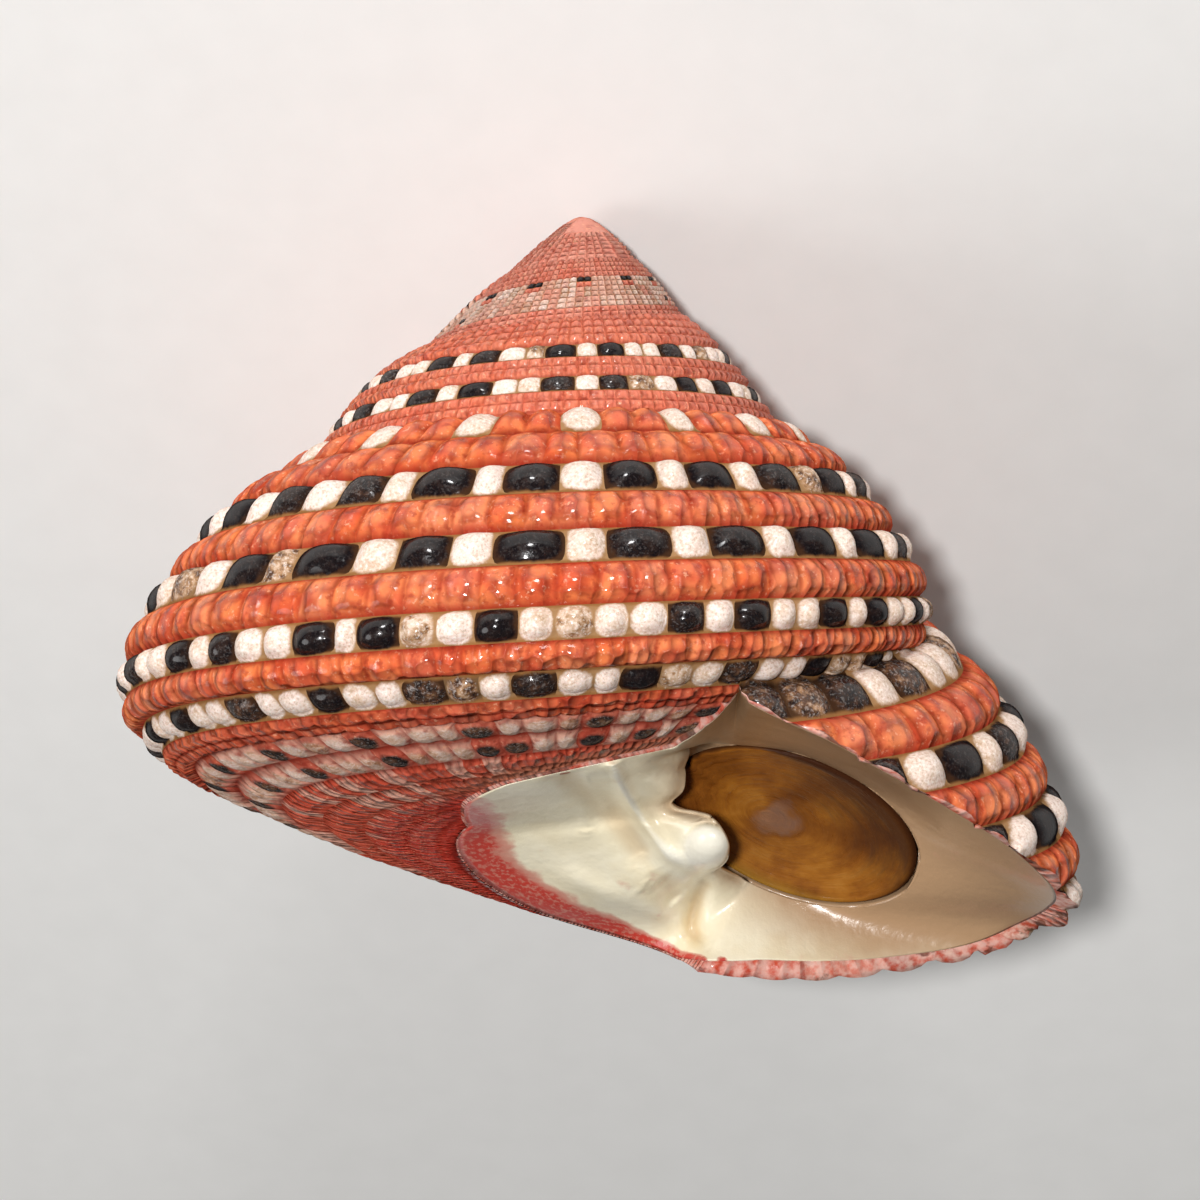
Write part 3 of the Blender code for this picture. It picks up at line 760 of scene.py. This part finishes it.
def plainShellMesh():
    mesh = bpy.data.meshes.new("wholeShell")
    mesh.from_pydata(layDown(np.array(points)).tolist(), [], faces)
    facts = dict(zip(factNames, np.array(beadFacts, float).T))
    outs = layDown(np.array(outward)) - layDown(np.zeros((1, 3)))
    addAttribute(mesh, "outward", "FLOAT_VECTOR", "POINT", outs)     # a thousandth long, in metres
    for name, values in facts.items():
        addAttribute(mesh, name, "FLOAT", "POINT", values)
    addAttribute(mesh, "beadTone", "FLOAT", "FACE", faceTones)
    patterned = []                     # 1 where a face shows black, brown and white beads, 0 where red ones
    for face, tone, (i, k) in zip(faces, faceTones, faceCords):
        angle = columnAngles[i]
        value = 1.0 if k in beads["tones"] and i and angle > youngWhorls else 0.0
        if k in (11, 12) and value and tone > beads["dark"]:
            value = 0.72
        if k in (3, 4, 5) and tipWhorls < angle < youngWhorls:
            lower = np.mean(facts["cordNumber"][list(face)]) > k         # only the upper thread has black beads
            value = 0.1 + 0.75 * (tone * 23 % 1) - 0.1 * (k - 3)
            if tone < 0.2:
                value = 0.0 if lower else 1.0
        if i and k == 1 and angle > lastWhorl:
            value = 1.0 if tone > 0.5 or angle > beads["sutureDark"] else 0.0
        patterned.append(value)
    addAttribute(mesh, "patterned", "FLOAT", "FACE", patterned)
    addAttribute(mesh, "bevel", "FLOAT", "FACE", [float(j in rimFaces) for j in range(len(faces))])
    addAttribute(mesh, "threadCount", "FLOAT", "FACE",
                 [threadsOf(columnAngles[i], k) if j < ribbonFaces else 1 for j, (i, k) in enumerate(faceCords)])
    mesh.shade_smooth()
    addBeadMap(mesh, facts["cordNumber"], facts["coilAngle"])
    return mesh


# Map for the materials: beads along, cords across.
def addBeadMap(mesh, cords, angles):
    uv = []
    columnOf = np.interp(angles, columnAngles, range(len(columns)))
    nextTurn = np.interp(angles + 360, columnAngles, range(len(columns)))
    for j, face in enumerate(faces):
        i, k = faceCords[j]
        for v in face:
            if j in rimFaces:
                uv.append((columnOf[edgeOf[v]] / beadOf(i, k)[2], cords[edgeOf[v]]))
            elif j >= ribbonFaces:
                uv.append((0.5, 1.0))
            elif abs(columnOf[v] - i) > facets["farColumns"]:
                uv.append((nextTurn[v] / beadOf(i, k)[2], facets["sutureMap"]))
            else:
                uv.append((columnOf[v] / beadOf(i, k)[2], cords[v]))
    mesh.uv_layers.new(name="beadMap").uv.foreach_set("vector", np.array(uv, np.float32).ravel())


def fill(node, inputs):
    for key, value in dict(inputs).items():
        value = getattr(value, "socket", value)
        if isinstance(value, bpy.types.NodeSocket):
            node.id_data.links.new(value, node.inputs[key])
        else:
            node.inputs[key].default_value = value
    return node


def addNode(tree, kind, inputs=(), **settings):
    node = tree.nodes.new(kind)
    for name, value in settings.items():
        setattr(node, name, value)
    return fill(node, inputs)


# A node value that can be reckoned with: every sum or product adds a math node.
class nodeValue:
    def __init__(self, tree, socket):
        self.tree, self.socket = tree, socket

    def step(self, operation, *values):
        node = addNode(self.tree, "ShaderNodeMath", dict(enumerate(values or (self,))), operation=operation)
        return nodeValue(self.tree, node.outputs[0])

    def __add__(self, other):
        return self.step("ADD", self, other)

    def __sub__(self, other):
        return self.step("SUBTRACT", self, other)

    def __rsub__(self, other):
        return self.step("SUBTRACT", other, self)

    def __mul__(self, other):
        return self.step("MULTIPLY", self, other)

    def __pow__(self, other):
        return self.step("POWER", self, other)

    def fraction(self):
        return self.step("FRACT")

    def fromMiddle(self):              # 0 halfway between two whole numbers, 1 at each of them
        return (self.fraction() * 2.0 - 1.0).step("ABSOLUTE")

    def clamped(self):
        return self.step("MINIMUM", self.larger(0.0), 1.0)

    def larger(self, other):
        return self.step("MAXIMUM", self, other)

    def fade(self, start, end, most=1.0):          # 0 on one side of a span of values, most on the other
        node = addNode(self.tree, "ShaderNodeMapRange", {0: self, 1: start, 2: end, 3: 0.0, 4: most},
                       interpolation_type="SMOOTHSTEP")
        return nodeValue(self.tree, node.outputs[0])


raising = {"Cord Relief": 1.0, "Bead Notch": 1.0, "Cord Roundness": 2.4, "Bead Roundness": 1.0}


# Raises rounded cords and beads from the smooth whorls.
def beadTree():
    tree = bpy.data.node_groups.new("beadRaising", "GeometryNodeTree")
    sockets = {}
    for name in ("Shell", *raising, "Finish"):
        kind = {"Shell": "NodeSocketGeometry", "Finish": "NodeSocketMaterial"}.get(name, "NodeSocketFloat")
        sockets[name] = tree.interface.new_socket(name, in_out="INPUT", socket_type=kind)
    tree.interface.new_socket("Shell", in_out="OUTPUT", socket_type="NodeSocketGeometry")
    given = addNode(tree, "NodeGroupInput").outputs

    def named(name, kind="FLOAT"):
        return nodeValue(tree, addNode(tree, "GeometryNodeInputNamedAttribute", {"Name": name},
                                       data_type=kind).outputs[0])

    side = ((named("cordNumber") + 0.5).fraction() * named("threads")).fromMiddle() ** given["Cord Roundness"]
    across = 1.0 - side.step("MINIMUM", side, 1.0)
    end = (named("beadCount") + 1e-4).fromMiddle() ** (named("sharpness") * given["Bead Roundness"])
    dip = (end + (1.0 - named("beadLift")) * (1.0 - end)) * across * (named("beadNotch") * given["Bead Notch"])
    groove = (1.0 - across) * (named("cordRelief") * given["Cord Relief"])
    offset = addNode(tree, "ShaderNodeVectorMath", {0: named("outward", "FLOAT_VECTOR"),
                                                   "Scale": named("rise") - groove - dip}, operation="SCALE")
    raised = addNode(tree, "GeometryNodeSetPosition", {"Geometry": given["Shell"], "Offset": offset.outputs[0]})
    place = addNode(tree, "GeometryNodeInputPosition").outputs[0]
    worn = addNode(tree, "ShaderNodeVectorMath", {0: place, 1: (-1.0, -1.0, 0.0)}, operation="MAXIMUM")
    worn = addNode(tree, "GeometryNodeSetPosition", {"Geometry": raised.outputs[0], "Position": worn.outputs[0]})
    smooth = addNode(tree, "GeometryNodeSetShadeSmooth", {"Geometry": worn.outputs[0]})
    whole = addNode(tree, "GeometryNodeRealizeInstances", {"Geometry": smooth.outputs[0]})
    finished = addNode(tree, "GeometryNodeSetMaterial", {"Geometry": whole.outputs[0], "Material": given["Finish"]})
    addNode(tree, "NodeGroupOutput", {"Shell": finished.outputs[0]})
    return tree, sockets


# Fine grain and mottling that every finish shares.
def grainGroup():
    group = bpy.data.node_groups.new("limeGrain", "ShaderNodeTree")
    for name, value in (("Grain Size", 9000.0), ("Mottle Size", 900.0)):
        group.interface.new_socket(name, in_out="INPUT", socket_type="NodeSocketFloat").default_value = value
    given = addNode(group, "NodeGroupInput").outputs
    place = addNode(group, "ShaderNodeTexCoord").outputs["Object"]
    made = {}
    for name, size, detail, rough in (("Height", "Grain Size", 3.0, 0.6), ("Mottle", "Mottle Size", 4.0, 0.55)):
        group.interface.new_socket(name, in_out="OUTPUT", socket_type="NodeSocketFloat")
        made[name] = addNode(group, "ShaderNodeTexNoise", {"Vector": place, "Scale": given[size], "Detail": detail,
                                                           "Roughness": rough}).outputs["Fac"]
    addNode(group, "NodeGroupOutput", made)
    return group


def newMaterial(name):
    material = bpy.data.materials.new(name)
    material.use_nodes = True
    tree = material.node_tree
    return material, tree, tree.nodes["Principled BSDF"]


# Height of the fine grain, and the mottling, of one size each.
def grainOf(tree, grainSize, mottleSize):
    made = addNode(tree, "ShaderNodeGroup", {"Grain Size": grainSize, "Mottle Size": mottleSize},
                   node_tree=limeGrain).outputs
    return nodeValue(tree, made["Height"]), nodeValue(tree, made["Mottle"])


def factsOf(tree, *names):
    return [nodeValue(tree, addNode(tree, "ShaderNodeAttribute", attribute_name=name).outputs["Fac"])
            for name in names]


def ramp(factor, stops):
    node = addNode(factor.tree, "ShaderNodeValToRGB", {"Fac": factor})
    while len(node.color_ramp.elements) < len(stops):
        node.color_ramp.elements.new(0.5)
    for element, (place, colour) in zip(node.color_ramp.elements, stops):
        element.position = place
        element.color = (*colour, 1.0)
    return node.outputs["Color"]


def mixColour(factor, a, b):
    a, b = ((*v, 1.0) if isinstance(v, tuple) else v for v in (a, b))
    return addNode(factor.tree, "ShaderNodeMix", {0: factor, 6: a, 7: b}, data_type="RGBA").outputs[2]


def bumpOf(height, strength, distance):
    return addNode(height.tree, "ShaderNodeBump", {"Height": height, "Strength": strength,
                                                   "Distance": distance}).outputs[0]


limeGrain = grainGroup()

shellFinish = {
    "beadTones": [(0.0, (0.006, 0.004, 0.005)), (0.14, (0.022, 0.012, 0.010)), (0.32, (0.095, 0.042, 0.022)),
                  (0.52, (0.34, 0.19, 0.095)), (0.75, (0.62, 0.45, 0.33)), (1.0, (0.77, 0.62, 0.54))],
    "chalk": (0.88, 0.80, 0.74),
    "tan": (0.33, 0.185, 0.085),
    "coral": (0.56, 0.080, 0.028),
    "orange": (0.73, 0.190, 0.060),
    # deep coral for random dark specks, and as painted shade in the grooves and gaps of the red cords
    "deepCoralAndGrooveShade": (0.25, 0.020, 0.010),
    # pale freckle, partly the shell's own specks and partly painted highlight specks
    "freckleAndGlint": (0.84, 0.40, 0.24),
    "rose": (0.64, 0.165, 0.100),
    "shellPink": (0.66, 0.24, 0.17),
    "carmine": (0.58, 0.080, 0.040),
    "crimson": (0.48, 0.036, 0.022),
    "pale": (0.74, 0.44, 0.33),
    "worn": (0.80, 0.50, 0.42),
    "groove": (0.25, 0.115, 0.040),
    "dark": (0.045, 0.020, 0.010),
    "glaze": (0.48, 0.16, 0.09),
}


def beadedFinish():
    material, tree, shader = newMaterial("beadedPorcelain")
    fine, mottling = grainOf(tree, 17000.0, 1500.0)
    coarse, specks = grainOf(tree, 9000.0, 5200.0)
    mottle, speck = mottling - 0.5, specks - 0.5
    beadPlace = addNode(tree, "ShaderNodeUVMap", uv_map="beadMap").outputs[0]
    along, cord = (nodeValue(tree, s) for s in addNode(tree, "ShaderNodeSeparateXYZ", {0: beadPlace}).outputs[:2])
    tone, patterned, turn, threads, glazed, bevel = factsOf(tree, "beadTone", "patterned", "coilAngle",
                                                            "threadCount", "glaze", "bevel")
    side = ((cord + 0.5).fraction() * threads).fromMiddle()
    end = along.fromMiddle()
    colours = shellFinish

    # black, brown and white beads with sugary grain, tan or brown round their edges
    stray = speck * (tone * (1.0 - tone) * 5.5 + 0.22)
    bead = ramp(tone + stray, colours["beadTones"])
    bead = mixColour(fine.fade(0.50, 0.66, 0.75) * tone, bead, colours["chalk"])
    bead = mixColour(fine.fade(0.46, 0.36, 0.45) * tone, bead, colours["tan"])
    edgeColour = mixColour(tone.fade(0.25, 0.6), colours["dark"], colours["tan"])
    edgeColour = mixColour(side.fade(0.75, 0.95), edgeColour, colours["groove"])
    corner = side ** 3.0 + end ** 3.0 + speck * 0.8
    bead = mixColour(corner.fade(0.50, 0.98), bead, edgeColour)

    # red beads, painted darker in the grooves and gaps as shade, rosier on the spire and on the base, with pale
    # freckles that partly stand in as painted highlight specks
    spire = (turn * (-1 / 300.0) - 0.45).clamped()
    base = (cord * 0.3 - 2.4).clamped()
    red = mixColour(mottling.fade(0.35, 0.65), colours["coral"], colours["orange"])
    # the pale freckles here partly stand in as painted highlight specks
    for factor, name in ((spire, "rose"), (turn.fade(-960.0, -1160.0), "shellPink"), (base, "carmine"),
                         (tone, "pale"), (speck.fade(0.02, 0.20, 0.60), "deepCoralAndGrooveShade"),
                         (coarse.fade(0.58, 0.70, 0.65), "freckleAndGlint")):
        red = mixColour(factor, red, colours[name])
    finer = addNode(tree, "ShaderNodeVectorMath", {0: beadPlace, 1: (2.5, 2.5, 1.0)}, operation="MULTIPLY").outputs[0]
    cells = addNode(tree, "ShaderNodeTexVoronoi", {"Vector": finer, "Scale": 1.0, "Smoothness": 0.25,
                                                   "Randomness": 0.55}, feature="SMOOTH_F1")
    granules = nodeValue(tree, cells.outputs["Distance"])
    # painted shade: grooves between cords, gaps between beads and the borders of granules turn deep coral
    edges = side.fade(0.62, 1.0, 0.85).larger(end.fade(0.72, 1.0, 0.55)).larger(granules.fade(0.40, 0.72, 0.60))
    red = mixColour(edges * (1.0 - spire * 0.50 - cord.fade(12.0, 13.5) * 0.7), red, colours["deepCoralAndGrooveShade"])

    # patterned cords of the base show only oval spots; crimson and glaze close in on the callus
    oval = (end ** 2.0 * 0.64 + side ** 2.0).step("SQRT") + speck * 0.3
    narrow = oval.fade(0.52, 0.76) * cord.fade(10.35, 10.55)
    colour = mixColour(patterned * (1.0 - narrow), red, bead)
    closeTo = (cord * 0.5 + speck * 0.8 - 7.0).fade(0.05, 0.55, 0.9)
    colour = mixColour(closeTo, colour, mixColour(fine.fade(0.5, 0.62), colours["crimson"], colours["rose"]))
    glazeColour = mixColour((cord * 0.5 - 6.8).fade(0.0, 0.8), colours["glaze"], colours["crimson"])
    colour = mixColour((mottle * 0.6 + glazed).fade(0.35, 0.95, 0.85), colour, glazeColour)
    worn = mixColour(speck.fade(-0.22, 0.16), colours["carmine"], colours["worn"])
    worn = mixColour(mottle.fade(0.06, 0.11, 0.8), worn, colours["dark"])
    colour = mixColour(bevel * 0.75, colour, worn)

    grains = granules ** 2.0 * (patterned - 1.0) * (1.0 - spire)
    dome = (1.0 - side ** 2.0) * (1.0 - end ** 2.0) * spire
    height = fine * (tone * 0.5 + 0.30) + grains * 9.0 + dome * 3.5
    # glossy on the crowns of the beads, dull in the gaps and where they turn away
    edgeOn = nodeValue(tree, addNode(tree, "ShaderNodeLayerWeight", {"Blend": 0.5}).outputs["Facing"])
    crown = side.fade(0.88, 0.50) * end.fade(0.84, 0.46) * edgeOn.fade(0.80, 0.40) * (1.0 - base * 0.45)
    fill(shader, {"Base Color": colour, "Roughness": tone * 0.20 + 0.20 + speck * 0.5,
                  "Normal": bumpOf(height, 1.0, 0.000020), "Specular IOR Level": crown * (tone * 0.14 + 0.12),
                  "Coat Weight": crown * 0.55 + 0.01, "Coat Roughness": 0.07, "Subsurface Weight": 0.08,
                  "Subsurface Radius": (1.0, 0.35, 0.2), "Subsurface Scale": 0.0002})
    return material


nacreFinish = {
    "tints": [(0.30, (0.76, 0.65, 0.44)), (0.43, (0.84, 0.75, 0.54)), (0.55, (0.90, 0.82, 0.62)),
              (0.66, (0.86, 0.75, 0.52)), (0.78, (0.94, 0.83, 0.60))],
    # taupe is partly the lip's own tint and partly painted shade; furrow is painted shade, crest a painted highlight
    "taupeTintAndShade": (0.43, 0.265, 0.145),
    "furrow": (0.60, 0.44, 0.25),
    "crest": (0.94, 0.90, 0.78),
    "crimson": (0.56, 0.045, 0.028),
    "blush": (0.66, 0.30, 0.22),
}


def mouthFinish():
    material, tree, shader = newMaterial("whiteNacre")
    height, mottling = grainOf(tree, 5000.0, 420.0)
    fine, specks = grainOf(tree, 9000.0, 2200.0)
    mottle, speck = mottling - 0.5, specks - 0.5
    onLip, lines, across, down, towardPlate, crimson = factsOf(tree, "onLip", "lineHeight", "across", "down",
                                                               "towardPlate", "crimson")
    colours = nacreFinish
    colour = ramp(mottling, colours["tints"])
    raised = mottle * 0.12 + lines
    # painted shade in the furrows and painted highlight along the ridges and the tooth
    colour = mixColour(raised.fade(-0.06, -0.34, 0.7), colour, colours["furrow"])
    colour = mixColour(raised.fade(0.10, 0.30, 0.8), colour, colours["crest"])
    # painted shade, partly the lip's own translucent tint: duller brownish grey over the upper and outer part of the
    # lip, and beside the plate on the columella where the surface recedes
    shade = (across * 0.30 + 14.10 - down + mottle * 1.4).fade(-0.3, 1.1) * onLip
    beside = towardPlate.fade(0.62, 1.0, 0.6) * (1.0 - onLip) * lines.fade(0.16, 0.02)
    colour = mixColour(shade.larger(beside), colour, colours["taupeTintAndShade"])
    red = crimson + mottle * 0.4 + speck * 0.7
    colour = mixColour(red.fade(0.10, 0.40), colour, colours["blush"])
    grainy = mixColour(fine.fade(0.48, 0.62, 0.6), colours["crimson"], colours["blush"])
    fill(shader, {"Base Color": mixColour(red.fade(0.38, 0.70), colour, grainy), "Roughness": 0.3,
                  "Coat Weight": 0.35, "Coat Roughness": 0.12,
                  "Normal": bumpOf(mottling * 6.0 + height, 1.0, 0.000014)})
    return material


def newObject(name, data):
    made = bpy.data.objects.new(name, data)
    bpy.context.scene.collection.objects.link(made)
    return made


def raiseBeads():
    shell = newObject("wholeShell", plainShellMesh())
    tree, sockets = beadTree()
    raiser = shell.modifiers.new("raiseBeads", "NODES")
    raiser.node_group = tree
    for name, value in raising.items():
        raiser[sockets[name].identifier] = value
    raiser[sockets["Finish"].identifier] = beadedFinish()
    plain = bpy.data.meshes.new_from_object(shell.evaluated_get(bpy.context.evaluated_depsgraph_get()))
    shell.modifiers.remove(raiser)
    shell.data = plain
    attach(shell, "root")
    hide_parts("shell")
    return shell


shell = raiseBeads()
print("beads raised:", sum(len(p.vertices) - 2 for p in shell.data.polygons), "triangles")


def liningPiece():
    count = len(places)
    turn = turnAt(places)
    rim = frontGrid[-1]
    rings = list(frontGrid) + [rim + 0.02 * unit(rim - plateCentre) - 0.10 * plateNormal]
    rings += [plateOval(turn, scale, height) for height, scale in mouth["cave"]]
    spots = [p for ring in rings for p in ring]
    starts = [range(r * count, (r + 1) * count) for r in range(len(rings))]
    loops = [f for last, fresh in zip(starts, starts[1:]) for f in ringFaces(last, fresh)]
    loops += capFaces(starts[-1], len(spots))
    spots.append(plateCentre - plateNormal * mouth["caveDeep"])
    wide = lining["backWide"]
    back = [plainGrid[r] - toCameraSide * depth for r, depth in lining["back"][1:]]
    back += [plateOval(turn, wide, underColumella(places) - 0.1), plateOval(turn, wide, -1.0)]
    last = starts[0]                   # the back of the layer shares its first ring with the front
    for ring in back:
        fresh = range(len(spots), len(spots) + count)
        spots += list(ring)
        loops += ringFaces(last, fresh, back=True)
        last = fresh
    loops += capFaces(last, len(spots), back=True)
    spots.append(plateCentre - plateNormal * mouth["caveEnd"])
    mesh = bpy.data.meshes.new("mouthLining")
    mesh.from_pydata(layDown(np.array(spots)).tolist(), [], loops)
    picture = seen(frontGrid)
    onLower = (closedPlace > lining["crimsonSpan"][0]) & (closedPlace < lining["crimsonSpan"][1])
    gap = np.full(picture.shape[:2], 9.0)
    for p, place in zip(seen(closedRim)[onLower][::3], closedPlace[onLower][::3]):
        here = np.hypot(picture[..., 0] - p[0], picture[..., 1] - p[1])
        width = lining["crimson"] * np.interp(place, *lining["crimsonShares"])
        gap = np.minimum(gap, here / max(width, 0.05))
    down, around = np.linspace(0, 1, len(frontGrid))[:, None], np.ones((len(frontGrid), count))
    facts = {"lineHeight": frontRise, "crimson": np.clip(1.5 - gap, 0, 1), "towardPlate": down * around,
             "across": picture[..., 0], "down": picture[..., 1],
             "onLip": around * np.interp(places, *lining["onLip"])}
    for name, values in facts.items():
        values = list(values.ravel())
        addAttribute(mesh, name, "FLOAT", "POINT", values + [values[-1]] * (len(spots) - len(values)))
    mesh.shade_smooth()
    mesh.materials.append(mouthFinish())
    piece = newObject("mouthLining", mesh)
    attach(piece, "root")
    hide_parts("shell")
    return piece


mouthLining = liningPiece()
print("mouth lined:", sum(len(p.vertices) - 2 for p in mouthLining.data.polygons), "triangles")


# Horny plate that closes the mouth.
plate = {
    "thick": 0.26,
    "dish": 0.16,
    "sides": 200,
    "rings": 30,
    "nucleus": (-0.22, -0.10),         # where growth began, in half lengths from the middle
    "flaky": (0.05, 0.5, 23, 9),       # torn end: roughness, spread, waves of two lengths
    "rim": ((0.995, 0.25), (1.0, 0.0), (0.985, -0.3), (0.94, -0.5)),   # share of the outline, of the thickness
}


def plateMesh():
    thick, dish = plate["thick"], plate["dish"]
    longHalf, shortHalf = mouth["plateHalves"]
    outline = [(s, 0.5 * thick - dish * (1 - s ** 3)) for s in np.linspace(0, 0.97, plate["rings"])[1:]]
    outline += [(s, height * thick) for s, height in plate["rim"]]
    flaky, spread, *waves = plate["flaky"]
    nucleus = plate["nucleus"]
    spots, facts = [], []

    def put(scale, angle, height):
        torn = math.exp(-((angle - math.pi) / spread) ** 2) * flaky
        torn = torn * math.sin(waves[0] * angle) * math.sin(waves[1] * angle)
        u = nucleus[0] * (1 - scale) + scale * math.cos(angle) * (1 + torn * scale)
        v = nucleus[1] * (1 - scale) + scale * math.sin(angle)
        spots.append(plateCentre + plateLong * u * longHalf + plateShort * v * shortHalf + plateNormal * height)
        facts.append((scale, u, v))

    put(0, 0, 0.5 * thick - 1.1 * dish)
    for scale, height in outline:
        for k in range(plate["sides"]):
            put(scale, 2 * math.pi * k / plate["sides"], height)
    put(0, 0, -0.5 * thick)
    n, loops = plate["sides"], []
    for k in range(n):
        m = (k + 1) % n
        loops.append((0, 1 + k, 1 + m))
        for r in range(len(outline) - 1):
            a, b = 1 + r * n, 1 + (r + 1) * n
            loops.append((a + k, b + k, b + m, a + m))
        end = 1 + (len(outline) - 1) * n
        loops.append((len(spots) - 1, end + m, end + k))
    mesh = bpy.data.meshes.new("hornyPlate")
    mesh.from_pydata(layDown(np.array(spots)).tolist(), [], loops)
    for column, name in enumerate(("fromNucleus", "plateAcross", "plateUp")):
        addAttribute(mesh, name, "FLOAT", "POINT", [f[column] for f in facts])
    mesh.shade_smooth()
    return mesh


hornColours = {
    "amber": [(0.25, (0.13, 0.036, 0.004)), (0.45, (0.23, 0.074, 0.008)), (0.60, (0.32, 0.115, 0.012)),
              (0.80, (0.42, 0.18, 0.03))],
    "dark": (0.045, 0.014, 0.005),
    "olive": (0.32, 0.165, 0.018),
    "pale": (0.42, 0.27, 0.20),
}


def hornFinish():
    material, tree, shader = newMaterial("brownHorn")
    grain, mottling = grainOf(tree, 9000.0, 900.0)
    mottle = mottling - 0.5
    grown, u, v = factsOf(tree, "fromNucleus", "plateAcross", "plateUp")
    # growth lines: noise drawn out along the rings
    ringPlace = addNode(tree, "ShaderNodeCombineXYZ", {0: grown * 11.0, 1: u * 1.3, 2: v * 1.3}).outputs[0]
    lines = nodeValue(tree, addNode(tree, "ShaderNodeTexNoise", {"Vector": ringPlace, "Scale": 1.6, "Detail": 4.0,
                                                                 "Roughness": 0.65}).outputs["Fac"])
    colour = ramp(mottle * 1.2 + lines * 0.36 + 0.32, hornColours["amber"])
    # painted shade: the upper right of the plate and its top edge turn dark brown under the lip, and the thin rim all
    # round is dark, partly shade where the plate meets the shell
    upperRightShade = u * 0.55 + v * 0.60 + lines * 0.7
    lowerRim = v * -0.8 * grown + mottle * 0.3
    topEdgeShadow = v * grown + lines * 0.12
    # the nucleus is painted paler, partly its own lighter horn and partly a painted reflection
    for value, start, end, most, name in (
            (upperRightShade, 0.38, 1.10, 0.92, "dark"), (lowerRim, 0.48, 0.80, 0.9, "olive"),
            (mottle * 1.3 + grown, 0.18, -0.08, 0.28, "pale"), (topEdgeShadow, 0.84, 0.95, 1.0, "dark"),
            (grown, 0.955, 0.99, 0.9, "dark")):
        colour = mixColour(value.fade(start, end, most), colour, hornColours[name])
    body = grown.fade(0.985, 0.93)                 # the rim itself is dull
    fill(shader, {"Base Color": colour, "Roughness": lines * 0.35 + 0.14, "Specular IOR Level": body * 0.33 + 0.02,
                  "Coat Weight": body * 0.12, "Coat Roughness": 0.2,
                  "Normal": bumpOf(grain * 0.25 + lines, 0.7, 0.00004)})
    return material


horn = newObject("hornyPlate", plateMesh())
horn.data.materials.append(hornFinish())
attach(horn, "root")
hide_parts("operculum")
print("plate made")


# Floor, light and camera.
studio = {
    "floorColours": [(0.3, (0.78, 0.77, 0.75)), (0.7, (0.80, 0.79, 0.77))],
    "tipInPhoto": (572.56, 199.27),      # where the apex pole lies in the 1200 pixel frame
    "frame": 1200.0,
    "lens": 120.0,
    "sensor": 36.0,
    "middle": (0.0, 0.0, 0.006),
    # metres toward the camera, up and to the right in the picture; width and power
    "lights": {"frontLight": (0.13, 0.018, -0.015, 0.010, 0.15), "topLight": (0.12, 0.13, 0.0, 0.035, 0.13),
               "sideLight": (0.08, -0.04, -0.15, 0.10, 0.10)},
    "room": {"Color": (1.0, 0.99, 0.97, 1.0), "Strength": 0.09},
}


def direction(v):
    return Vector((layDown(np.array(v, float)) - layDown(np.zeros(3)))[0]).normalized()


def aimedCamera():
    bank = math.radians(sight["bank"])
    toCamera = direction((0, sightCos, sightSin))
    right, down = direction((1, 0, 0)), direction((0, -sightSin, sightCos))
    across = right * math.cos(bank) - down * math.sin(bank)
    above = -(right * math.sin(bank) + down * math.cos(bank))
    data = bpy.data.cameras.new("photoCamera")
    data.sensor_width = studio["sensor"]
    data.lens = studio["lens"]
    data.clip_start = 0.001
    x, y = studio["tipInPhoto"]
    data.shift_x = 0.5 - x / studio["frame"]
    data.shift_y = y / studio["frame"] - 0.5
    camera = newObject("photoCamera", data)
    turned = Matrix((across, above, toCamera)).transposed().to_4x4()
    turned.translation = Vector(layDown(np.zeros(3))[0]) + toCamera * sight["distance"] * 0.001
    camera.matrix_world = turned
    bpy.context.scene.camera = camera
    return toCamera, above, across


def softLight(name, place, target, size, power):
    data = bpy.data.lights.new(name, "AREA")
    data.shape = "DISK"
    data.size = size
    data.energy = power
    light = newObject(name, data)
    light.location = place
    light.rotation_euler = (target - place).to_track_quat("-Z", "Y").to_euler()


def layFloor():
    mesh = bpy.data.meshes.new("floor")
    mesh.from_pydata([(-1, -1, 0), (1, -1, 0), (1, 1, 0), (-1, 1, 0)], [], [(0, 1, 2, 3)])
    material, tree, shader = newMaterial("paleFloor")
    place = addNode(tree, "ShaderNodeTexCoord").outputs["Object"]
    paper = addNode(tree, "ShaderNodeTexNoise", {"Vector": place, "Scale": 900.0, "Detail": 3.0}).outputs["Fac"]
    fill(shader, {"Base Color": ramp(nodeValue(tree, paper), studio["floorColours"]), "Roughness": 0.75})
    mesh.materials.append(material)
    floor = newObject("floor", mesh)


layFloor()
toCamera, above, across = aimedCamera()
middle = Vector(studio["middle"])
for name, (forward, up, right, size, power) in studio["lights"].items():
    softLight(name, middle + toCamera * forward + above * up + across * right, middle, size, power)
world = bpy.data.worlds.new("softRoom")
world.use_nodes = True
fill(world.node_tree.nodes["Background"], studio["room"])
bpy.context.scene.world = world
bpy.context.scene.view_settings.view_transform = "Standard"
print("studio set")
